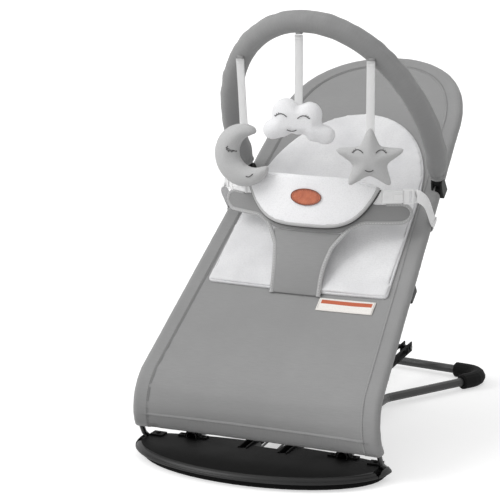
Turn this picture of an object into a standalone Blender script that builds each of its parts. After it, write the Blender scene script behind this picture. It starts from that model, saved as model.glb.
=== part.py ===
"""Baby bouncer: a fabric seat on spring wire, hinged to a flat base, with a toy bar.

Metres, +Z up. The origin is on the floor under the seat's hinge, in the middle of
the base plate. -Y is the foot end and +Y the head end. Left and right are those of
someone who faces the foot end.
"""
import math

import bmesh
import bpy
from mathutils import Matrix, Vector

MM = 0.001
X_AXIS = Vector((1, 0, 0))
Y_AXIS = Vector((0, 1, 0))
Z_AXIS = Vector((0, 0, 1))
SIDES = (("left", -1), ("right", 1))
TOYS = ("star", "cloud", "moon")

# Clearances
touch_gap = 0.3 * MM
running_gap = 0.5 * MM

# Base plate and the pad under it
plate_half_width = 201 * MM
plate_front_depth = 122 * MM
plate_back_depth = 41 * MM
pad_height = 5 * MM
pad_inset = 12 * MM
plate_top = 20 * MM
plate_lip_inset = 8 * MM
plate_lip_height = 10.5 * MM
plate_rounding = 9 * MM

# Hinge line of the seat and the rails, inside the plate
hinge_y = 6 * MM
hinge_z = 14 * MM

# Floor frame
floor_tube_radius = 8.5 * MM
floor_tube_wall = 1 * MM
floor_tube_half_gap = 121 * MM
floor_tube_lift = 22 * MM
floor_tube_front = 8 * MM
floor_tube_first_bend = 48 * MM
waist_half_gap = 62 * MM
waist_start = 190 * MM
waist_end = 300 * MM
floor_tube_bend = 60 * MM
tube_strap_thickness = 2.3 * MM
tube_strap_length = 12 * MM
tube_strap_place = 16 * MM
tube_strap_flange = 12 * MM
strap_screw_radius = 3 * MM
cap_half_depth = 9 * MM
cap_thickness = 2.2 * MM
cap_screw_radius = 3.5 * MM
rear_leg_radius = 7 * MM
rear_leg_wall = 1.2 * MM
rear_leg_start = 240 * MM
rear_flare_start = 348 * MM
rear_corner_half_width = 177 * MM
rear_corner_y = 547 * MM
rear_bar_bow = 24 * MM
rear_corner_bend = 32 * MM
foot_sleeve_radius = 12.5 * MM
foot_sleeve_run = 22 * MM
foot_sleeve_rounding = 2 * MM

# Seat seen from the side: a bend over the hem, a straight back and a bent head
seat_angle = math.radians(36.7)
seat_lift = 100.7 * MM
seat_start = 57.5 * MM
lower_bend_radius = 62 * MM
lower_bend_angle = math.radians(84.5)
back_length = 544.9 * MM
head_bend_radius = 500 * MM
head_length = 151 * MM
seat_half_width_bottom = 198 * MM
seat_half_width_top = 154 * MM
arch_before_bend = 25.5 * MM

# Seat frame
wire_radius = 4 * MM
hinge_pin_length = 22 * MM
hinge_knee = 24 * MM
hinge_bend = 5 * MM
connector_radius = 5.8 * MM
connector_length = 36 * MM
connector_before_bend = 97.5 * MM
hem_bar_radius = 3 * MM
cross_rod_radius = 5 * MM
cross_rod_wall = 1.2 * MM
cross_rod_drop = 14 * MM
rod_clip_length = 26 * MM
rod_clip_inner = 15 * MM
rod_clip_outer = 5.6 * MM
rod_clip_bottom = 21 * MM

# Seat cover
hem_radius = 8.6 * MM
hem_wall = 1.9 * MM
bottom_hem_radius = 6.5 * MM
cover_thickness = 3 * MM
cover_edge_lift = 7 * MM
cover_sag = 4 * MM

# Rails, their spring and the stay
rail_slope = math.radians(4)
rail_half_gap = 32 * MM
rail_width = 14 * MM
rail_height = 16 * MM
rail_wall = 2 * MM
rail_front = 9 * MM
rail_length = 528 * MM
rail_pin_radius = 3 * MM
rail_pin_overhang = 14 * MM
rail_tie_radius = 4 * MM
rail_tie_inset = 8 * MM
stay_length = 270 * MM
stay_half_gap = 46 * MM
stay_width = 10 * MM
stay_depth = 14 * MM
foot_rod_radius = 3.5 * MM
foot_rod_overhang = 1 * MM
foot_roller_radius = 5.6 * MM
recline_travel = math.radians(30)
recline_notches = 4
notch_depth = 2.5 * MM
catch_half_width = 18 * MM
catch_reach = 42 * MM
catch_hub_radius = 8 * MM
catch_tip_radius = 6 * MM
spring_wire_radius = 1.8 * MM
spring_half_width = 13 * MM
spring_front = 8 * MM
spring_reach = 150 * MM
bridge_start = 138 * MM
bridge_length = 22 * MM
bridge_thickness = 5 * MM

# Insert cushion
insert_start = 258.8 * MM
insert_arch = 446.8 * MM
insert_end = 630.8 * MM
insert_half_width_bottom = 145 * MM
insert_half_width_top = 136 * MM
insert_thickness = 11 * MM
insert_edge = 3 * MM

# Sewn tag
tag_centre_x = 86 * MM
tag_place = 238.8 * MM
tag_width = 90 * MM
tag_length = 24 * MM
tag_thickness = 0.9 * MM

# Harness, on a surface that stands in front of the sitter
band_front_y = 158 * MM
band_side_y = 203 * MM
band_half_width = 150 * MM
band_lean = 0.15
band_low = 317 * MM
band_wing_low = 334 * MM
band_wing_high = 361 * MM
band_thickness = 4 * MM
stem_place = 251.8 * MM
stem_half_width_foot = 38 * MM
stem_half_width_top = 57 * MM
stem_thickness = 4 * MM
bib_half_width = 106 * MM
bib_low = 326 * MM
bib_corner = 386 * MM
bib_high = 400 * MM
bib_thickness = 10 * MM
bib_edge = 3 * MM
patch_half_width = 24 * MM
patch_half_height = 12 * MM
patch_thickness = 1.2 * MM
patch_height = 370 * MM
webbing_width = 20 * MM
webbing_thickness = 1.6 * MM
buckle_centre_x = 131 * MM
buckle_centre_z = 373 * MM
buckle_length = 48 * MM
buckle_height = 20 * MM
buckle_depth = 9 * MM
button_length = 14 * MM
button_height = 10 * MM
button_depth = 5 * MM
button_travel = 2 * MM
strap_place = 420.8 * MM
strap_tail = 34 * MM

# Toy bar
bar_lean = math.radians(31.13)
bar_pivot_lift = 14 * MM
bar_foot_half_width = 158 * MM
bar_half_width = 165 * MM
bar_straight = 60 * MM
bar_height = 299 * MM
bar_tube_radius = 5 * MM
bar_tube_wall = 1 * MM
bar_sleeve_radius = 17 * MM
bar_sleeve_foot_radius = 11 * MM
bar_sleeve_start = 12 * MM
bar_plug_collar = 9 * MM
bar_plug_top = 28 * MM
toy_clip_place = 489.3 * MM
toy_clip_width = 18 * MM
toy_clip_length = 20 * MM
toy_clip_bottom = 9.8 * MM
toy_clip_slot = 12 * MM
toy_clip_slot_floor = 6.5 * MM
pivot_pin_radius = 3 * MM

# Toys: where each hangs along the bar and round it, and its yaw
ribbon_width = 13 * MM
ribbon_thickness = 1.6 * MM
toy_tab_drop = 4 * MM
toy_tab_width = 10 * MM
toy_tab_thickness = 5 * MM
toy_half_thickness = 17 * MM
toy_seam = 1.2 * MM
ribbon_length = 97 * MM
star_x = 102 * MM
star_hang = 0
star_radius = 54 * MM
star_inner_radius = 29 * MM
star_squash = 0.9
star_yaw = math.radians(22)
cloud_x = -6 * MM
cloud_hang = math.radians(35)
cloud_width = 116 * MM
cloud_yaw = math.radians(16)
moon_x = -110 * MM
moon_hang = 0
moon_radius = 49 * MM
moon_hollow_radius = 25 * MM
moon_hollow_shift = 17 * MM
moon_spread = math.radians(135)
moon_tilt = math.radians(20)
moon_yaw = math.radians(-4)

# Colours
BLACK = (0.012, 0.012, 0.013)
STEEL_BLACK = (0.018, 0.018, 0.02)
RUBBER = (0.01, 0.01, 0.01)
GREY_CLOTH = (0.30, 0.30, 0.31)
PALE_CLOTH = (0.75, 0.75, 0.76)
WHITE = (0.84, 0.84, 0.85)
MID_GREY = (0.45, 0.45, 0.46)
LEATHER = (0.52, 0.17, 0.08)

body_places = {}


def clear_scene():
    for item in list(bpy.data.objects):
        bpy.data.objects.remove(item, do_unlink=True)


def make_material(name, colour, roughness, metallic=0.0):
    material = bpy.data.materials.new(name)
    material.use_nodes = True
    shader = material.node_tree.nodes["Principled BSDF"]
    shader.inputs["Base Color"].default_value = (*colour, 1)
    shader.inputs["Roughness"].default_value = roughness
    shader.inputs["Metallic"].default_value = metallic
    return material


def make_body(name, place, parent=None):
    """An empty on the joint's axis, which carries the pieces that move with it."""
    marker = bpy.data.objects.new(name, None)
    marker.empty_display_size = 20 * MM
    bpy.context.scene.collection.objects.link(marker)
    body_places[name] = place
    if parent:
        marker.parent = bpy.data.objects[parent]
        place = place - body_places[parent]
    marker.location = place
    return name


def add_piece(name, mesh, body, colour, roughness, metallic=0.0):
    """A named piece with its own material, whose mesh is already in its place."""
    mesh.materials.append(make_material(name + "_finish", colour, roughness, metallic))
    mesh.shade_smooth()
    mesh.set_sharp_from_angle(angle=math.radians(35))
    item = bpy.data.objects.new(name, mesh)
    bpy.context.scene.collection.objects.link(item)
    item.parent = bpy.data.objects[body]
    item.location = -body_places[body]
    return item


def combine(item, mesh, operation):
    """Cuts a tool mesh from the piece, or joins it to the piece."""
    tool = bpy.data.objects.new(mesh.name, mesh)
    bpy.context.scene.collection.objects.link(tool)
    tool.parent = item.parent
    tool.location = item.location
    tool.hide_render = True
    tool.display_type = "WIRE"
    step = item.modifiers.new(mesh.name, "BOOLEAN")
    step.operation = operation
    step.solver = "EXACT"
    step.object = tool


def cut(item, mesh):
    combine(item, mesh, "DIFFERENCE")


def join(item, mesh):
    combine(item, mesh, "UNION")


def soften(item, width, segments=2):
    bevel = item.modifiers.new("soft_edges", "BEVEL")
    bevel.width = width
    bevel.segments = segments
    bevel.limit_method = "ANGLE"
    bevel.angle_limit = math.radians(40)


def skin(name, rings, looped=False):
    """A closed mesh through rings with equal point counts."""
    shape = bmesh.new()
    loops = [[shape.verts.new(point) for point in ring] for ring in rings]
    pairs = list(zip(loops, loops[1:]))
    if looped:
        pairs.append((loops[-1], loops[0]))
    for near, far in pairs:
        for index, corner in enumerate(near):
            beside = (index + 1) % len(near)
            shape.faces.new((corner, near[beside], far[beside], far[index]))
    if not looped:
        shape.faces.new(loops[0])
        shape.faces.new(loops[-1])
    bmesh.ops.connect_verts_nonplanar(shape, angle_limit=math.radians(0.1), faces=shape.faces)
    return finish_mesh(name, shape)


def finish_mesh(name, shape):
    bmesh.ops.recalc_face_normals(shape, faces=shape.faces)
    mesh = bpy.data.meshes.new(name)
    shape.to_mesh(mesh)
    shape.free()
    return mesh


def directions_along(path, side):
    """A sideways and an upward direction at each point, twisting as little as they can."""
    found = []
    for index in range(len(path)):
        ahead = path[min(index + 1, len(path) - 1)] - path[max(index - 1, 0)]
        ahead.normalize()
        side = (side - ahead * side.dot(ahead)).normalized()
        found.append((side, ahead.cross(side)))
    return found


def circle(radius, sides):
    """Corners of a regular polygon with a flat at the bottom, which holds the circle's radius."""
    turns = [2 * math.pi * (index + 0.5) / sides for index in range(sides)]
    return [(radius * math.cos(turn), radius * math.sin(turn)) for turn in turns]


def rings_along(path, sections, side):
    """One ring of points for each point of the path, from its own cross-section."""
    rings = []
    for point, section, (across, up) in zip(path, sections, directions_along(path, side)):
        rings.append([point + across * u + up * v for u, v in section])
    return rings


def rod(name, path, radius, sides=10, side=X_AXIS):
    return skin(name, rings_along(path, [circle(radius, sides)] * len(path), side))


def pipe(name, path, radius, inner, sides=12, side=X_AXIS):
    """A hollow rod. The outer and inner radii are numbers, or lists with one for each point."""
    count = len(path)
    outside = radius if isinstance(radius, list) else [radius] * count
    inside = inner if isinstance(inner, list) else [inner] * count
    outer = rings_along(path, [circle(value, sides) for value in outside], side)
    bore = rings_along(path, [circle(value, sides) for value in inside], side)
    return skin(name, outer + bore[::-1], looped=True)


def rounded_path(corners, bend, step=math.radians(18)):
    """Straight runs between the corners, with an arc of the bend radius at each inner one."""
    path = [corners[0]]
    for before, corner, after in zip(corners, corners[1:], corners[2:]):
        back = (before - corner).normalized()
        onward = (after - corner).normalized()
        turn = math.pi - back.angle(onward)
        reach = bend * math.tan(turn / 2)
        centre = corner + (back + onward).normalized() * (bend / math.cos(turn / 2))
        spoke = corner + back * reach - centre
        axis = spoke.cross(corner + onward * reach - centre)
        count = max(2, math.ceil(turn / step))
        for index in range(count + 1):
            path.append(centre + Matrix.Rotation(turn * index / count, 3, axis) @ spoke)
    path.append(corners[-1])
    return path


def smooth_path(points, steps):
    """A smooth curve through the points, with a number of steps between each two."""
    path = []
    padded = [points[0] * 2 - points[1], *points, points[-1] * 2 - points[-2]]
    for a, b, c, d in zip(padded, padded[1:], padded[2:], padded[3:]):
        for index in range(steps):
            t = index / steps
            path.append(0.5 * (2 * b + (c - a) * t + (2 * a - 5 * b + 4 * c - d) * t * t
                               + (3 * b - a - 3 * c + d) * t ** 3))
    path.append(points[-1])
    return path


def box(name, size, place, turn=None):
    shape = bmesh.new()
    bmesh.ops.create_cube(shape, size=1)
    spot = Matrix.Translation(place)
    if turn:
        spot = spot @ turn.to_4x4()
    bmesh.ops.transform(shape, matrix=spot @ Matrix.Diagonal((*size, 1)), verts=shape.verts)
    return finish_mesh(name, shape)


def span_box(name, low, high):
    """A box between two opposite corners, in any order."""
    size = [abs(b - a) for a, b in zip(low, high)]
    place = Vector([(a + b) / 2 for a, b in zip(low, high)])
    return box(name, size, place)


def side_prism(name, outline, start, end):
    """An outline of points in a plane across X, stretched from one x to another."""
    return skin(name, [[point + X_AXIS * (x - point.x) for point in outline] for x in (start, end)])


def round_bar(name, radius, place, start, end, sides=12):
    """A straight round bar along X through a place, from one x to another."""
    return rod(name, [Vector((x, place.y, place.z)) for x in (start, end)], radius, sides, Z_AXIS)


def pillow(name, outline, front, back, factors=(1, 0.93, 0.8, 0.55, 0.28)):
    """A closed form between a front and a back surface, over a flat outline of (u, v) points."""
    shape = bmesh.new()
    middle_u = sum(u for u, v in outline) / len(outline)
    middle_v = sum(v for u, v in outline) / len(outline)
    borders = []
    for surface in (front, back):
        previous = None
        for factor in factors:
            ring = []
            for u, v in outline:
                spot = surface(middle_u + (u - middle_u) * factor, middle_v + (v - middle_v) * factor)
                ring.append(shape.verts.new(spot))
            if previous:
                bridge(shape, previous, ring)
            else:
                borders.append(ring)
            previous = ring
        tip = shape.verts.new(surface(middle_u, middle_v))
        for index, corner in enumerate(previous):
            shape.faces.new((corner, previous[(index + 1) % len(previous)], tip))
    bridge(shape, *borders)
    return finish_mesh(name, shape)


def bridge(shape, near, far):
    for index, corner in enumerate(near):
        beside = (index + 1) % len(near)
        shape.faces.new((corner, near[beside], far[beside], far[index]))


# Places on the seat

hinge = Vector((0, hinge_y, hinge_z))
back_direction = Vector((0, math.cos(seat_angle), math.sin(seat_angle)))
back_normal = Vector((0, -math.sin(seat_angle), math.cos(seat_angle)))
lower_length = lower_bend_radius * lower_bend_angle
back_end = lower_length + back_length
arch_start = back_end - arch_before_bend
connector_place = back_end - connector_before_bend
seat_length = back_end + head_length


def seat_lines(distance):
    """The seat's middle line at a distance from the hem: the place, the way on and the way out."""
    if distance < lower_length:
        turn = (lower_length - distance) / lower_bend_radius
        centre = hinge + back_direction * seat_start + back_normal * (seat_lift - lower_bend_radius)
        outward = back_normal * math.cos(turn) - back_direction * math.sin(turn)
        onward = back_direction * math.cos(turn) + back_normal * math.sin(turn)
        return centre + outward * lower_bend_radius, onward, outward
    if distance < back_end:
        place = hinge + back_direction * (seat_start + distance - lower_length) + back_normal * seat_lift
        return place, back_direction, back_normal
    turn = (distance - back_end) / head_bend_radius
    bend_start = hinge + back_direction * (seat_start + back_length)
    centre = bend_start + back_normal * (seat_lift - head_bend_radius)
    outward = back_normal * math.cos(turn) + back_direction * math.sin(turn)
    onward = back_direction * math.cos(turn) - back_normal * math.sin(turn)
    return centre + outward * head_bend_radius, onward, outward


def seat_point(distance, x=0.0, lift=0.0):
    place, onward, outward = seat_lines(distance)
    return place + X_AXIS * x + outward * lift


def seat_turn(distance):
    """The rotation whose axes are X, the way along the seat and the way out of it."""
    place, onward, outward = seat_lines(distance)
    return Matrix((X_AXIS, onward, outward)).transposed()


def seat_box(name, distance, x_range, half_length, lift_range):
    """A box that lies on the seat, between two x and two lifts."""
    x = sum(x_range) / 2
    lift = sum(lift_range) / 2
    size = (abs(x_range[1] - x_range[0]), 2 * half_length, lift_range[1] - lift_range[0])
    return box(name, size, seat_point(distance, x, lift), seat_turn(distance))


def side_width(distance):
    share = distance / arch_start
    return seat_half_width_bottom + (seat_half_width_top - seat_half_width_bottom) * share


def rim_half_width(distance, inset):
    """Half the seat's width at a distance from the hem, inside the outline by an inset."""
    width = side_width(min(distance, arch_start)) - inset
    if distance <= arch_start:
        return width
    reach = (distance - arch_start) / (seat_length - inset - arch_start)
    return width * math.sqrt(max(0.0, 1 - reach * reach))


def arch_points(inset, count):
    """The head arch from the right side to the left, at an inset from the outline."""
    points = []
    for index in range(count + 1):
        turn = math.pi * index / count
        x = (seat_half_width_top - inset) * math.cos(turn)
        distance = arch_start + (seat_length - inset - arch_start) * math.sin(turn)
        points.append(seat_point(distance, x))
    return points


def side_points(inset, side, start, end):
    """Points up one side of the seat, close together only where the seat bends."""
    stops = {start, end}
    stops.update(share * lower_length / 7 for share in range(8))
    stops.add(arch_start)
    kept = sorted(stop for stop in stops if start <= stop <= end)
    return [seat_point(stop, side * (side_width(stop) - inset)) for stop in kept]


def rim_path(inset, start, count):
    """Up the left side, over the head and down the right side."""
    left = side_points(inset, -1, start, arch_start)
    right = side_points(inset, 1, start, arch_start)
    return left[:-1] + arch_points(inset, count)[::-1] + right[-2::-1]


# Base

def plate_outline(inset, height, count=48):
    points = []
    for index in range(count):
        turn = 2 * math.pi * index / count
        depth = plate_back_depth if math.sin(turn) > 0 else plate_front_depth
        x = (plate_half_width - inset) * math.cos(turn)
        points.append(Vector((x, (depth - inset) * math.sin(turn), height)))
    return points


def make_base(body):
    soft = 1.5 * MM
    pad_levels = ((soft, 0), (0, soft), (0, pad_height - soft), (soft, pad_height))
    pad = skin("base_pad", [plate_outline(pad_inset + inset, height) for inset, height in pad_levels])
    add_piece("base_pad", pad, body, RUBBER, 0.85)
    floor = pad_height + touch_gap
    plate_levels = (
        (plate_lip_inset, floor),
        (plate_lip_inset, plate_lip_height - soft),
        (soft / 3, plate_lip_height),
        (0, plate_top - plate_rounding),
        (plate_rounding * 0.2, plate_top - plate_rounding * 0.4),
        (plate_rounding * 0.5, plate_top - plate_rounding * 0.12),
        (plate_rounding, plate_top),
    )
    rings = [plate_outline(inset, height) for inset, height in plate_levels]
    plate = add_piece("base_plate", skin("base_plate", rings), body, BLACK, 0.35)
    cut_hinge_slots(plate)
    cut_rail_slots(plate)
    for name, side in SIDES:
        groove = [Vector((side * floor_tube_half_gap, y, floor_tube_lift))
                  for y in (floor_tube_front - running_gap, plate_back_depth + plate_rounding)]
        cut(plate, rod("cut_tube_groove_" + name, groove, floor_tube_radius + running_gap, 16))


def cut_hinge_slots(plate):
    """A slot for each side wire and a groove for the pin that ends it."""
    foot = side_width(0) - hem_radius
    half_slot = wire_radius + running_gap
    above = plate_top + 1 * MM
    floor = hinge_z - wire_radius - running_gap
    knee = seat_point(0, 0, 0)
    for name, side in SIDES:
        slot = span_box(
            "cut_wire_slot_" + name,
            (side * (foot - half_slot), knee.y - 2 * half_slot, floor),
            (side * (foot + half_slot), hinge_y + half_slot, above),
        )
        cut(plate, slot)
        half_groove = half_slot + running_gap
        groove = span_box(
            "cut_pin_groove_" + name,
            (side * (foot - hinge_pin_length - running_gap), hinge_y - half_groove, floor - touch_gap),
            (side * foot, hinge_y + half_groove, above),
        )
        cut(plate, groove)


def cut_rail_slots(plate):
    half_slot = rail_width / 2 + 3 * running_gap
    behind = plate_back_depth + plate_rounding
    for name, side in SIDES:
        slot = span_box(
            "cut_rail_slot_" + name,
            (side * rail_half_gap - half_slot, hinge_y - rail_front - 4 * running_gap, pad_height / 2),
            (side * rail_half_gap + half_slot, behind, plate_top + 1 * MM),
        )
        cut(plate, slot)
    reach = rail_pin_reach() + running_gap
    cut(plate, round_bar("cut_rail_pin", rail_pin_radius + running_gap, hinge, -reach, reach))
    notch = span_box(
        "cut_spring_notch",
        (-spring_half_width - 4 * spring_wire_radius, hinge_y + spring_front - 3 * running_gap, hinge_z - 6 * MM),
        (spring_half_width + 4 * spring_wire_radius, behind, plate_top + 1 * MM),
    )
    cut(plate, notch)


def rail_pin_reach():
    return rail_half_gap + rail_width / 2 + rail_pin_overhang


def make_pin_caps(body):
    """A cap with a tongue holds each hinge pin down in its groove."""
    foot = side_width(0) - hem_radius
    outer = foot - wire_radius - 2 * running_gap
    inner = foot - hinge_pin_length - 3 * MM
    for name, side in SIDES:
        low = plate_top + touch_gap
        cap = span_box(
            "pin_cap_" + name,
            (side * inner, hinge_y - cap_half_depth, low),
            (side * outer, hinge_y + cap_half_depth, low + cap_thickness),
        )
        cap = add_piece("pin_cap_" + name, cap, body, BLACK, 0.45)
        tongue = span_box(
            "tongue_" + name,
            (side * (foot - hinge_pin_length), hinge_y - wire_radius, hinge_z + wire_radius + touch_gap),
            (side * outer, hinge_y + wire_radius, low + cap_thickness / 2),
        )
        join(cap, tongue)
        spot = Vector((side * (inner + outer) / 2, hinge_y, low + cap_thickness + touch_gap))
        screw = screw_head("cap_screw_" + name, spot, cap_screw_radius)
        add_piece("cap_screw_" + name, screw, body, STEEL_BLACK, 0.3, 1.0)


def screw_head(name, place, radius):
    """The domed head of a screw, which stands on what it holds."""
    height = radius * 0.55
    levels = ((radius, 0), (radius, height * 0.4), (radius * 0.75, height * 0.8), (radius * 0.35, height))
    rings = []
    for ring_radius, lift in levels:
        rings.append([place + Vector((u, v, lift)) for u, v in circle(ring_radius, 12)])
    return skin(name, rings)


def make_tube_straps(body):
    """A bent strap over each floor tube, with a foot on either side of it."""
    inner = floor_tube_radius + touch_gap
    outer = inner + tube_strap_thickness
    low = plate_top + touch_gap - floor_tube_lift
    turns = [math.radians(18 * step) for step in range(11)]
    outside = [(outer * math.cos(turn), outer * math.sin(turn)) for turn in turns]
    inside = [(inner * math.cos(turn), inner * math.sin(turn)) for turn in turns]
    flange = outer + tube_strap_flange
    top = low + tube_strap_thickness
    section = [(flange, low), (flange, top), (outer, top), *outside[1:-1]]
    section += [(-outer, top), (-flange, top), (-flange, low), (-inner, low), *inside[::-1][1:-1], (inner, low)]
    for name, side in SIDES:
        centre = Vector((side * floor_tube_half_gap, 0, floor_tube_lift))
        rings = []
        for y in (tube_strap_place - tube_strap_length / 2, tube_strap_place + tube_strap_length / 2):
            rings.append([centre + Vector((u, y, v)) for u, v in section])
        strap = skin("tube_strap_" + name, rings)
        strap = add_piece("tube_strap_" + name, strap, body, STEEL_BLACK, 0.4, 1.0)
        for way in (-1, 1):
            spot = Vector((way * (outer + tube_strap_flange / 2), tube_strap_place, top - touch_gap))
            join(strap, screw_head(f"screw_{name}_{way}", centre + spot, strap_screw_radius))


def make_floor_frame(body):
    for name, side in SIDES:
        corners = [
            Vector((side * floor_tube_half_gap, floor_tube_front, floor_tube_lift)),
            Vector((side * floor_tube_half_gap, floor_tube_first_bend, floor_tube_lift)),
            Vector((side * waist_half_gap, waist_start, foot_sleeve_radius)),
            Vector((side * waist_half_gap, waist_end, foot_sleeve_radius)),
        ]
        path = rounded_path(corners, floor_tube_bend)
        mesh = pipe("floor_tube_" + name, path, floor_tube_radius, floor_tube_radius - floor_tube_wall, 12)
        add_piece("floor_tube_" + name, mesh, body, STEEL_BLACK, 0.35, 1.0)
    path = rear_leg_path()
    leg = pipe("rear_leg", path, rear_leg_radius, rear_leg_radius - rear_leg_wall, 12)
    add_piece("rear_leg", leg, body, STEEL_BLACK, 0.35, 1.0)
    make_foot_sleeves(body)


def rear_leg_corners():
    height = foot_sleeve_radius
    half = [
        Vector((waist_half_gap, rear_leg_start, height)),
        Vector((waist_half_gap, rear_flare_start, height)),
        Vector((rear_corner_half_width, rear_corner_y, height)),
    ]
    middle = Vector((0, rear_corner_y + rear_bar_bow, height))
    mirrored = [Vector((-corner.x, corner.y, corner.z)) for corner in half]
    return [*half, middle, *mirrored[::-1]]


def rear_leg_path():
    """From the right floor tube round both rear corners to the left one."""
    return rounded_path(rear_leg_corners(), rear_corner_bend)


def make_foot_sleeves(body):
    """A rubber sleeve round each rear corner, which is what stands on the floor."""
    corners = rear_leg_corners()
    for name, side in SIDES:
        before, corner, after = [Vector((side * spot.x, spot.y, spot.z)) for spot in corners[1:4]]
        bend = rounded_path([before, corner, after], rear_corner_bend)[1:-1]
        start = bend[0] + (before - corner).normalized() * foot_sleeve_run
        end = bend[-1] + (after - corner).normalized() * foot_sleeve_run
        start_ahead = start.lerp(bend[0], foot_sleeve_rounding / foot_sleeve_run)
        end_ahead = end.lerp(bend[-1], foot_sleeve_rounding / foot_sleeve_run)
        path = [start, start_ahead, *bend, end_ahead, end]
        radii = [foot_sleeve_radius] * len(path)
        radii[0] = radii[-1] = foot_sleeve_radius - foot_sleeve_rounding
        inner = rear_leg_radius + touch_gap
        sleeve = pipe("corner_foot_" + name, path, radii, inner, 14)
        add_piece("corner_foot_" + name, sleeve, body, RUBBER, 0.7)


# Rails, spring and stay

def rail_point(reach, x=0.0, lift=0.0):
    """A place on the rails' line at a reach from the hinge."""
    onward = Vector((0, math.cos(rail_slope), math.sin(rail_slope)))
    upward = Vector((0, -math.sin(rail_slope), math.cos(rail_slope)))
    return hinge + onward * reach + upward * lift + X_AXIS * x


def rail_box(name, reach_range, x_range, lift_range):
    size = [abs(b - a) for a, b in (x_range, reach_range, lift_range)]
    place = rail_point(sum(reach_range) / 2, sum(x_range) / 2, sum(lift_range) / 2)
    return box(name, size, place, Matrix.Rotation(rail_slope, 3, "X"))


def stay_top_reach():
    """How far along the back the cross rod lies, so that the stay is as long as its arm."""
    lift = seat_lift - cross_rod_drop
    return math.sqrt(stay_length ** 2 - lift ** 2)


def stay_angle():
    """The angle at the hinge between the rails and the line to the cross rod."""
    lift = seat_lift - cross_rod_drop
    return seat_angle - rail_slope + math.atan2(lift, stay_top_reach())


def cross_rod_place():
    return hinge + back_direction * stay_top_reach() + back_normal * (seat_lift - cross_rod_drop)


def cross_rod_distance():
    return lower_length + stay_top_reach() - seat_start


def foot_reach(recline=0.0):
    """Where the stay's foot stands on the rails at an angle of recline."""
    return 2 * stay_length * math.cos(stay_angle() - recline)


def make_rails(body):
    half = rail_width / 2
    for name, side in SIDES:
        middle = side * rail_half_gap
        span = (-rail_front, rail_length)
        lifts = (-rail_height / 2, rail_height / 2)
        mesh = rail_box("rail_" + name, span, (middle - half, middle + half), lifts)
        rail = add_piece("rail_" + name, mesh, body, STEEL_BLACK, 0.4, 1.0)
        channel = half - rail_wall
        floor = -rail_height / 2 + rail_wall
        cut(rail, rail_box("cut_channel_" + name, (-2 * rail_front, rail_length * 1.1),
                           (middle - channel, middle + channel), (floor, rail_height)))
        through = (middle - rail_width, middle + rail_width)
        half_slot = foot_rod_radius + running_gap
        slot_span = (foot_reach() - half_slot, foot_reach(recline_travel) + half_slot)
        cut(rail, rail_box("cut_slot_" + name, slot_span, through, (-half_slot, half_slot)))
        for notch in range(recline_notches):
            recline = recline_travel * notch / (recline_notches - 1)
            spot = rail_point(foot_reach(recline), 0, -notch_depth)
            cut(rail, round_bar(f"cut_notch_{name}_{notch}", half_slot, spot, *through))
        cut(rail, round_bar("cut_pin_hole_" + name, rail_pin_radius + running_gap, hinge, *through))
        tie = rail_point(rail_length - rail_tie_inset)
        cut(rail, round_bar("cut_tie_hole_" + name, rail_tie_radius + touch_gap, tie, *through))
    reach = rail_half_gap + half + 2 * MM
    tie = round_bar("rail_tie", rail_tie_radius, rail_point(rail_length - rail_tie_inset), -reach, reach)
    add_piece("rail_tie", tie, body, STEEL_BLACK, 0.35, 1.0)
    inner = rail_half_gap - half - touch_gap
    lifts = (spring_wire_radius + touch_gap, spring_wire_radius + touch_gap + bridge_thickness)
    plate = rail_box("rail_bridge", (bridge_start, bridge_start + bridge_length), (-inner, inner), lifts)
    soften(add_piece("rail_bridge", plate, body, BLACK, 0.45), 1 * MM)


def make_rail_pin(body):
    reach = rail_pin_reach()
    pin = round_bar("rail_pin", rail_pin_radius, hinge, -reach, reach)
    add_piece("rail_pin", pin, body, STEEL_BLACK, 0.3, 1.0)


def make_bounce_spring(body):
    """A long loop of spring wire from the plate to the bridge between the rails."""
    corners = [
        rail_point(spring_front, -spring_half_width),
        rail_point(spring_reach, -spring_half_width),
        rail_point(spring_reach, spring_half_width),
        rail_point(spring_front, spring_half_width),
    ]
    path = rounded_path(corners, spring_half_width * 0.8)
    add_piece("bounce_spring", rod("bounce_spring", path, spring_wire_radius, 8), body, STEEL_BLACK, 0.3, 1.0)


def capsule(start, end, start_radius, end_radius, count=8):
    """An outline in the plane across X: two round ends and the straight sides between them."""
    onward = (end - start).normalized()
    upward = X_AXIS.cross(onward)
    points = []
    for centre, radius, first in ((start, start_radius, 90), (end, end_radius, -90)):
        for step in range(count + 1):
            turn = math.radians(first + 180 * step / count)
            points.append(centre + onward * radius * math.cos(turn) + upward * radius * math.sin(turn))
    return points


def make_stay(body):
    top = cross_rod_place()
    foot = rail_point(foot_reach())
    half = stay_width / 2
    for name, side in SIDES:
        middle = side * stay_half_gap
        outline = capsule(foot, top, stay_depth / 2, stay_depth / 2)
        mesh = side_prism("stay_arm_" + name, outline, middle - half, middle + half)
        arm = add_piece("stay_arm_" + name, mesh, body, STEEL_BLACK, 0.35, 1.0)
        through = (middle - stay_width, middle + stay_width)
        cut(arm, round_bar("cut_arm_top_" + name, cross_rod_radius + running_gap, top, *through, 16))
        cut(arm, round_bar("cut_arm_foot_" + name, foot_rod_radius + touch_gap, foot, *through))
    reach = stay_half_gap + half + foot_rod_overhang
    add_piece("foot_rod", round_bar("foot_rod", foot_rod_radius, foot, -reach, reach), body, STEEL_BLACK, 0.3, 1.0)
    inner = rail_half_gap - rail_width / 2 + rail_wall + touch_gap
    outer = rail_half_gap + rail_width / 2 - rail_wall - touch_gap
    for name, side in SIDES:
        path = [foot + X_AXIS * side * x for x in (inner, outer)]
        roller = pipe("foot_roller_" + name, path, foot_roller_radius, foot_rod_radius + touch_gap, 16, Z_AXIS)
        add_piece("foot_roller_" + name, roller, body, WHITE, 0.4)


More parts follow.
